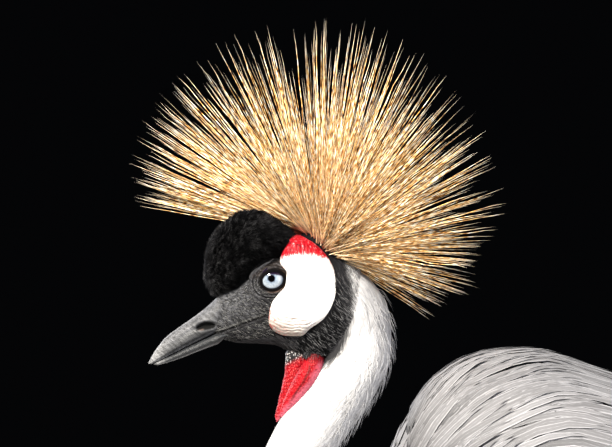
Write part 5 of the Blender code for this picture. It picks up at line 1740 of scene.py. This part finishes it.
@dataclass
class BodyCoat:
    """Hackles at the neck's base, lance-shaped mantle plumes, flank and belly feathers, and thighs."""

    hackle_count: int = 5200
    mantle_count: int = 3400
    shoulder_count: int = 7000
    belly_count: int = 6400
    thigh_count: int = 2000
    thigh_samples: int = 200

    def build(self) -> None:
        """Each field of feathers as one piece."""
        self.hackles()
        self.mantle()
        self.belly()
        self.thighs()

    def hackles(self) -> None:
        """Long narrow feathers that fall over the chest."""
        rng = np.random.default_rng(61)
        share, turn = NECK.scatter(self.hackle_count, rng, lambda mm, s, t: (s > 0.66) & (s < 0.985))
        plume = Plume(40, 2.6, (0.0, 0.15, 0.4, 0.7, 1.0), (0.6, 5.5), 1.6, 0.45, sag=2.0, vary=0.3, stray=5)
        size = np.interp(share, (0.66, 0.8, 0.95), (0.5, 1.0, 0.95))
        plume.lay(NECK, share, turn, steady(-6.0), rng, None, steady(-0.6), size).piece(
            "neck_hackles", LANCE_PLUMAGE, "plumage_pale")

    def mantle(self) -> None:
        """Lance-shaped plumes that sweep up from the shoulders and back over the wings."""
        rng = np.random.default_rng(62)
        share, turn = FLANK.scatter(
            self.mantle_count, rng, lambda mm, s, t: (mm[:, 0] < 345) & (np.abs(t) < np.where(
                mm[:, 0] < 108, 120, 84 - 0.2 * np.clip(mm[:, 0] - 170, 0, 200))))
        x = FLANK.mm(share, turn)[:, 0]
        plume = Plume(84, 5.4, (0.0, 0.12, 0.3, 0.5, 0.7, 0.87, 1.0), (0.4, 3.1), 3.0, 0.35, vary=0.3, stray=3.4)
        size = np.interp(x, (84, 120, 200, 340), (0.75, 0.9, 1.05, 0.9)) * np.interp(np.abs(turn), (76, 92), (1, 0.42))
        long = plume.lay(FLANK, share, turn, self.swept, rng, None, self.over_wing, size)
        share, turn = FLANK.scatter(self.shoulder_count, rng,
                                          lambda mm, s, t: (mm[:, 0] < 124) & (np.abs(t) < 84))
        plume = Plume(44, 4.6, (0.0, 0.15, 0.4, 0.7, 1.0), (0.2, 1.4), 2.6, 0.3, vary=0.3, stray=3.5)
        short = plume.lay(FLANK, share, turn, self.swept, rng, None, self.over_wing)
        Form.joined([long, short]).piece("mantle_plumes", LANCE_PLUMAGE, "plumage_grey")

    def swept(self, mm: Array, turn: Array) -> Array:
        """The mantle's lie: up over the shoulder, then down along the back."""
        return np.interp(mm[:, 0], (84, 100, 130, 160, 175, 190, 205, 300), (-34, -30, -26, -26, -18, -6, 4, 3)) \
            * ease(np.abs(turn), 2, 30) * ease(-np.abs(turn), -110, -80)

    def over_wing(self, mm: Array, turn: Array) -> Array:
        """The ground under the mantle, which rises over the folded wing's upper edge."""
        return -0.2 + (Wing(Side.LEFT).depth(mm[..., 0]) + 1.6) * ease(np.abs(turn), 30, 46)

    def belly(self) -> None:
        """Softer, broader grey feathers on the breast, flanks, belly and rump."""
        rng = np.random.default_rng(63)
        share, turn = TORSO.scatter(
            self.belly_count, rng,
            lambda mm, s, t: (s > 0.02) & ((np.abs(t) > 60) | (mm[:, 0] > 330) | (mm[:, 0] < 125)))
        plume = Plume(34, 7.0, (0.0, 0.2, 0.45, 0.75, 1.0), (0.4, 2.4), 2.6, 0.4, vary=0.25, stray=6)
        x = TORSO.mm(share, turn)[:, 0]
        size = np.interp(x, (66, 120, 300, 420, 462), (0.6, 0.9, 1.1, 0.9, 0.6))
        plume.lay(TORSO, share, turn, steady(0.0), rng, None, steady(-1.2), size).piece(
            "belly_feathers", FLANK_PLUMAGE, "plumage_grey")

    def thighs(self) -> None:
        """Short feathers down each thigh to its cuff."""
        for side in Side:
            rng = np.random.default_rng(64)
            limb = thigh_limb(side)
            rows = cubic_table(np.column_stack([limb.path, limb.radii]), self.thigh_samples)
            count = self.thigh_count
            shares = np.linspace(0, 1, self.thigh_samples)
            t0 = rng.uniform(0.0, 0.93, count)
            angle = rng.uniform(0, 2 * np.pi, count)
            t = np.array((0.0, 0.2, 0.6, 1.0))
            place = t0[:, None] + 0.15 * t * rng.uniform(0.8, 1.15, (count, 1))
            columns = [np.interp(np.clip(place, 0, 1), shares, column) for column in rows.T]
            over = np.maximum(place - 1, 0) * 120
            lift = np.array((-3.2, -1.4, -0.5, 0.1))
            radius = columns[3] + lift
            out = np.stack([np.cos(angle), np.sin(angle), np.zeros(count)], axis=1)[:, None]
            centre = world(columns[0] + 0.2 * over, columns[1] - over, columns[2])
            paths = centre + out * (radius * MM)[..., None]
            ups = np.broadcast_to(out, paths.shape)
            widths = 4.6 * np.interp(t, (0, 0.35, 0.7, 1), (0.5, 1, 0.8, 0.1)) * np.ones((count, 1))
            places = np.stack([0.02 + 0.96 * t0, 0.02 + 0.96 * angle / (2 * np.pi)], axis=1)
            form = strands(paths, ups, widths, np.full_like(widths, 0.3), plain("#9A9DA4", count), rng, places)
            form.piece(f"thigh_{side.label}_feathers", FLANK_PLUMAGE, "plumage_grey")


@dataclass
class Wing:
    """A folded wing laid on the flank: coverts, plumes, secondaries and primaries."""

    side: Side
    start: float = 96.0        # x of its front and back, millimetres
    end: float = 330.0
    thin: float = 1.2          # lift at the front, millimetres
    swell: float = 7.8         # how much more it stands out behind

    def depth(self, x: Array) -> Array:
        """Lift of the wing's outer face above the flank."""
        return self.thin + self.swell * np.clip(2.2 * (x - self.start) / (self.end - self.start), 0.0, 1.0)

    def turn(self, value: Array) -> Array:
        """A turn given for the left wing, put on this side."""
        return -self.side.value * np.asarray(value, float)

    def build(self) -> None:
        """The wing's groups of feathers."""
        name = self.side.label
        self.body().piece(f"wing_{name}_skin", BARE_SKIN, "plumage_white", f"wing_{name}_coverts")
        self.coverts().piece(f"wing_{name}_covert_vanes", COVERT_PLUMAGE, "plumage_white")
        # Slot and group, then what fan takes.
        rows = (
            ("plumage_black", "primaries", 11, (336, 80, 72, 654), (340, 108, 112, 588), 16.0, (1.2, 2.2), 20, 0.0,
             FLIGHT_BLACK),
            ("plumage_maroon", "secondaries", 16, (334, 46, 26, 606), (342, 106, 112, 540), 19.0, (6.0, 7.6), 20, 8.0,
             "#5B2416"),
            ("plumage_straw", "plumes", 26, (296, 48, 36, 520), (318, 77, 94, 470), 6.0, (9.6, 12.4), 14, 0.0,
             "#BE9A60"),
        )
        for slot, label, *make in rows:
            self.fan(*make).piece(f"wing_{name}_{label}_vanes", FLIGHT_PLUMAGE, slot, f"wing_{name}_{label}")

    def body(self) -> Form:
        """The wing's own flesh, a slab under its coverts."""
        share = FLANK.share_at(np.linspace(self.start + 2, self.end - 1, 70))
        turn = self.turn(np.linspace(45, 113, 50))
        s, t = np.meshgrid(share, turn, indexing="ij")
        points = FLANK.point(s, t)
        x = from_eye(points)[..., 0]
        v = np.linspace(0, 1, 50)[None]
        out = FLANK.normal(s, t)
        top = (self.depth(x) - 1.4) * (0.5 + 0.5 * (1 - (2 * v - 1) ** 6))
        outer = points + out * (top * MM)[..., None]
        inner = points - out * 9 * MM
        form = lattice(np.concatenate([outer, inner[:, ::-1]], axis=1))
        form.tint = plain("#E9E8E4", len(form.points))
        return form.flipped() if self.side is Side.LEFT else form

    def coverts(self) -> Form:
        """Tiers of rounded white feathers, each row lapping over the next."""
        rng = np.random.default_rng(71)
        forms = []
        for x in np.arange(98, 322, 13.0):
            low = np.interp(x, (98, 140, 250, 320), (78, 80, 76, 74))
            turns = np.arange(low, 114, 5.2) + rng.uniform(-1.5, 1.5) + rng.uniform(-1, 1)
            turns = turns + rng.normal(0, 0.8, len(turns))
            share = FLANK.share_at(x + rng.normal(0, 1.5, len(turns)))
            size = 1.0 + 0.35 * np.interp(x, (98, 320), (0, 1))
            plume = Plume(34 * size, 12.5 * size, (0.0, 0.15, 0.4, 0.65, 0.85, 1.0), (0.9, 2.3), 2.0, 0.4, vary=0.12,
                          stray=3.5, waist=0.6)
            forms.append(plume.lay(FLANK, share, self.turn(turns), steady(4.0), rng, plain("#E9E7E2", len(turns)),
                                   lambda at, around: self.depth(at[..., 0]) - 0.6))
        return Form.joined(forms)

    def fan(self, count: int, first: Sequence[float], last: Sequence[float], width: float,
            lifts: tuple[float, float], roll: float, sag: float, code: str) -> Form:
        """Long feathers shingled over one another.

        Args:
            count: how many.
            first: root x, root turn, tip turn and tip x of the first.
            last: the same of the last.
            width: width of each, millimetres.
            lifts: lift above the flank of the first and the last.
            roll: degrees that each is tipped.
            sag: drop of the last one's tip, millimetres.
            code: their colour.

        Returns:
            The form.
        """
        rng = np.random.default_rng(count)
        k = np.linspace(0, 1, count)
        rows = np.array(first)[None] * (1 - k[:, None]) + np.array(last)[None] * k[:, None]
        rows[:, 3] += rng.uniform(-6, 6, count)
        root_x, root_turn, tip_turn, tip_x = rows.T[..., None]
        t = np.array((0, 0.06, 0.16, 0.3, 0.45, 0.6, 0.74, 0.86, 0.94, 1.0))
        turn = self.turn(root_turn + (tip_turn - root_turn) * t)
        share = FLANK.share_at(root_x + (tip_x - root_x) * t)
        out = FLANK.normal(share, turn)
        lift = (lifts[0] + (lifts[1] - lifts[0]) * k)[:, None] + 0.5 * t
        paths = FLANK.point(share, turn) + out * (lift * MM)[..., None]
        paths[..., 2] -= sag * k[:, None] * t ** 2 * MM
        run = unit(paths[:, -1] - paths[:, 0])
        angle = math.radians(-roll * self.side.value)
        ups = out * math.cos(angle) + np.cross(run[:, None], out) * math.sin(angle)
        swell = np.interp(t, (0, 0.1, 0.35, 0.8, 0.93, 1.0), (0.3, 0.6, 1.0, 0.95, 0.6, 0.1))
        widths = width * swell * np.ones((count, 1))
        return strands(paths, ups, widths, np.full_like(widths, QUILL), plain(code, count), rng,
                       bake_place(share[:, 0], turn[:, 0]))


@dataclass
class Tail:
    """Black tail feathers, folded one over another."""

    count: int = 12
    coverts: int = 10
    root: tuple[float, float] = (446, -182)     # x, z
    pace: float = 46                            # millimetres back for each unit of i

    def build(self) -> None:
        """The fan and its shorter upper coverts."""
        forms = []
        rng = np.random.default_rng(81)
        for layer, (reach, high, many) in enumerate(((184, 0.0, self.count), (96, 2.2, self.coverts))):
            for k in range(many):
                middle = (many - 1) / 2
                across = (k - middle) / middle
                i = np.linspace(0, reach / self.pace * (1 - 0.09 * across ** 2), 11)
                rise = (1.3 * (middle - abs(k - middle)) * 0.75 + high) * np.minimum(i, 1)
                y = across * np.where(layer == 0, 6.5 + 3.6 * i, 17 + 9.0 * i)
                path = world(self.root[0] + self.pace * i, self.root[1] - 10 * i - 2.0 * i ** 2 + rise, y)[None]
                widths = 15.0 * np.interp(i / i[-1], (0, 0.3, 0.8, 0.9, 1), (0.5, 1, 0.95, 0.75, 0.1))[None]
                ups = np.broadcast_to(np.array([0.0, 0.25 * across, 1.0]), path.shape)
                forms.append(strands(path, ups, widths, np.full_like(widths, QUILL),
                                     plain(RUMP_GREY if layer else FLIGHT_BLACK, 1), rng,
                                     np.array([[0.2 + 0.03 * k, 0.3 + 0.3 * layer]])))
        rump = ellipsoid((450, -181, 0.0), (18, 14, 8), 20, 28)
        rump.tint = plain(RUMP_GREY, len(rump.points))
        rump.values = {name: np.zeros(len(rump.points)) for name in forms[0].values}
        rump.patch = np.full((len(rump.points), 2), 0.9)
        Form.joined(forms + [rump]).piece("tail_vanes", FLIGHT_PLUMAGE, "plumage_black", "tail")


@dataclass
class Leg:
    """The bare leg of one side: shank, hock, tarsus and foot."""

    side: Side

    def build(self) -> None:
        """Scaled limbs, toes with pads, and claws."""
        name, sign = self.side.label, self.side.value
        y = sign * LEG_Y
        shank = self.line(CUFF, ANKLE, (-0.12, 0.25, 0.55, 0.85, 1.0), (6.6, 6.0, 5.5, 6.9, 9.0))
        knuckle = ellipsoid((*ANKLE, y), (10.5, 8.2, 13.5), 40, 48)
        Form.joined([Limb(*shank, rings=60).form(scutes), knuckle]).piece(
            f"shank_{name}_scales", LEG_HORN, "leg_black", f"shank_{name}")
        tarsus = self.line(ANKLE, SOLE, (0.0, 0.06, 0.14, 0.5, 0.9, 1.0), (8.4, 7.2, 5.4, 4.7, 5.0, 7.0))
        Limb(*tarsus, sides=36, rings=420).form(scutes).piece(
            f"tarsus_{name}_scales", LEG_HORN, "leg_black", f"tarsus_{name}")
        pad = ellipsoid((SOLE[0], FLOOR_Z + 8.2, y), (11.5, 9.5, 8.2), 30, 40)
        toes = [pad]
        for label, yaw, length, radius in TOES:
            toe, claw = self.toe(y, yaw, length, radius)
            toes.append(toe)
            claw.piece(f"claw_{name}_{label}_horn", CLAW_HORN, "claw_horn", f"claw_{name}_{label}")
        Form.joined(toes).piece(f"foot_{name}_scales", LEG_HORN, "leg_black", f"foot_{name}")

    def line(self, first: tuple[float, float], last: tuple[float, float], shares: Sequence[float],
             radii: Sequence[float]) -> tuple[Array, Array]:
        """Path and radii of a straight limb between two joints."""
        s = np.array(shares)
        path = np.stack([first[0] + (last[0] - first[0]) * s, first[1] + (last[1] - first[1]) * s,
                         np.full(len(s), self.side.value * LEG_Y)], axis=1)
        return path, np.array(radii)

    def toe(self, y: float, yaw: float, length: float, radius: float) -> tuple[Form, Form]:
        """A toe with swollen joints and plates along its top, and its claw.

        Args:
            y: the foot's place across the bird.
            yaw: degrees outward from straight ahead.
            length: of the toe, millimetres.
            radius: at its root.

        Returns:
            Toe and claw.
        """
        turn = math.radians(yaw)
        way = np.array([-math.cos(turn), self.side.value * math.sin(turn)])
        far = np.linspace(0, length, 9)
        t = far / length
        radii = radius * (1 - 0.32 * t) * np.where(np.arange(9) % 2 == 0, 1.06, 0.9)
        high = FLOOR_Z + radius * (1.08 - 0.3 * t)
        path = np.stack([SOLE[0] + way[0] * far, high, y + way[1] * far], axis=1)
        toe = Limb(path, radii, 24, int(length * 2)).form(scutes)
        nail, rise = np.array(CLAW_LINE, float).T
        root = path[-1, 1] - FLOOR_Z
        line = np.stack([path[-1, 0] + way[0] * nail, path[-1, 1] + rise * root, path[-1, 2] + way[1] * nail], axis=1)
        line[0, [0, 2]] -= way * 2.0
        claw = Limb(line, radius * np.array([0.6, 0.52, 0.3, 0.04]), 24, 30).form()
        for form in (toe, claw):
            form.points[:, 2] = np.maximum(form.points[:, 2], EYE[2] + FLOOR_Z * MM + ABOVE_FLOOR)
        return toe, claw


@dataclass
class Studio:
    """Floor, lights, world and the camera at the photograph's place."""

    away: float = 3.0          # camera to the bird's middle plane, metres
    view_width: float = 0.3978
    aim: tuple[float, float] = (21.45, 36.7)
    sensor: float = 36.0
    floor: float = 8.0         # half the paper's side, metres

    def build(self) -> None:
        """Set up everything that isn't the bird."""
        far = self.floor
        paper = lattice(np.array([[[-far, -far, 0], [far, -far, 0]], [[-far, far, 0], [far, far, 0]]]),
                        round_about=False, ends=False)
        floor = add_object("floor", paper.mesh("floor"))
        floor.data.materials.append(PAPER.material())
        world_light = bpy.data.worlds.new("studio")
        bpy.context.scene.world = world_light
        world_light.use_nodes = True
        back = world_light.node_tree.nodes["Background"]
        back.inputs["Color"].default_value = linear("#141518")
        back.inputs["Strength"].default_value = 0.2
        for row in (("key", (-1.4, -1.9, 2.3), 0.4, 235.0, "#FFF8EC"),
                    ("fill", (1.5, -2.4, 1.0), 1.8, 32.0, "#EEF1FF"),
                    ("rim", (1.4, 1.8, 2.1), 0.9, 42.0, "#FFFFFF"),
                    ("back", (-1.9, 1.7, 1.2), 1.4, 45.0, "#F4F6FF")):
            self.lamp(*row)
        self.camera()
        bpy.context.scene.view_settings.view_transform = "Standard"

    def lamp(self, name: str, place: tuple[float, float, float], size: float, power: float, code: str) -> None:
        """An area light aimed at the bird's neck.

        Args:
            name: its name.
            place: where it stands, metres.
            size: width of its disk, metres.
            power: watts.
            code: its colour.
        """
        light = bpy.data.lights.new(name, "AREA")
        light.shape = "DISK"
        light.size = size
        light.energy = power
        light.color = linear(code)[:3]
        made = add_object(name, light)
        made.location = place
        made.rotation_euler = (Vector((-0.2, 0, 0.58)) - Vector(place)).to_track_quat("-Z", "Y").to_euler()

    def camera(self) -> None:
        """A long lens level with the crest's root, looking along +Y."""
        lens = bpy.data.cameras.new("camera")
        lens.sensor_width = self.sensor
        lens.lens = self.sensor * self.away / self.view_width
        lens.clip_end = 30.0
        made = add_object("camera", lens)
        made.matrix_world = Matrix.Translation((EYE[0] + self.aim[0] * MM, -self.away, EYE[2] + self.aim[1] * MM)) \
            @ Matrix.Rotation(math.radians(90), 4, "X")
        bpy.context.scene.camera = made


def main() -> None:
    """Build the crane, sub-assembly by sub-assembly."""
    logging.basicConfig(level=logging.INFO, format="%(name)s %(message)s")
    for part in (Studio, Flesh, Eyes, Bill, Cheeks, Wattle, Velvet, Crest, HeadCoat, BodyCoat):
        part().build()
    for side in Side:
        Wing(side).build()
        Leg(side).build()
    Tail().build()


if __name__ == "__main__":
    main()
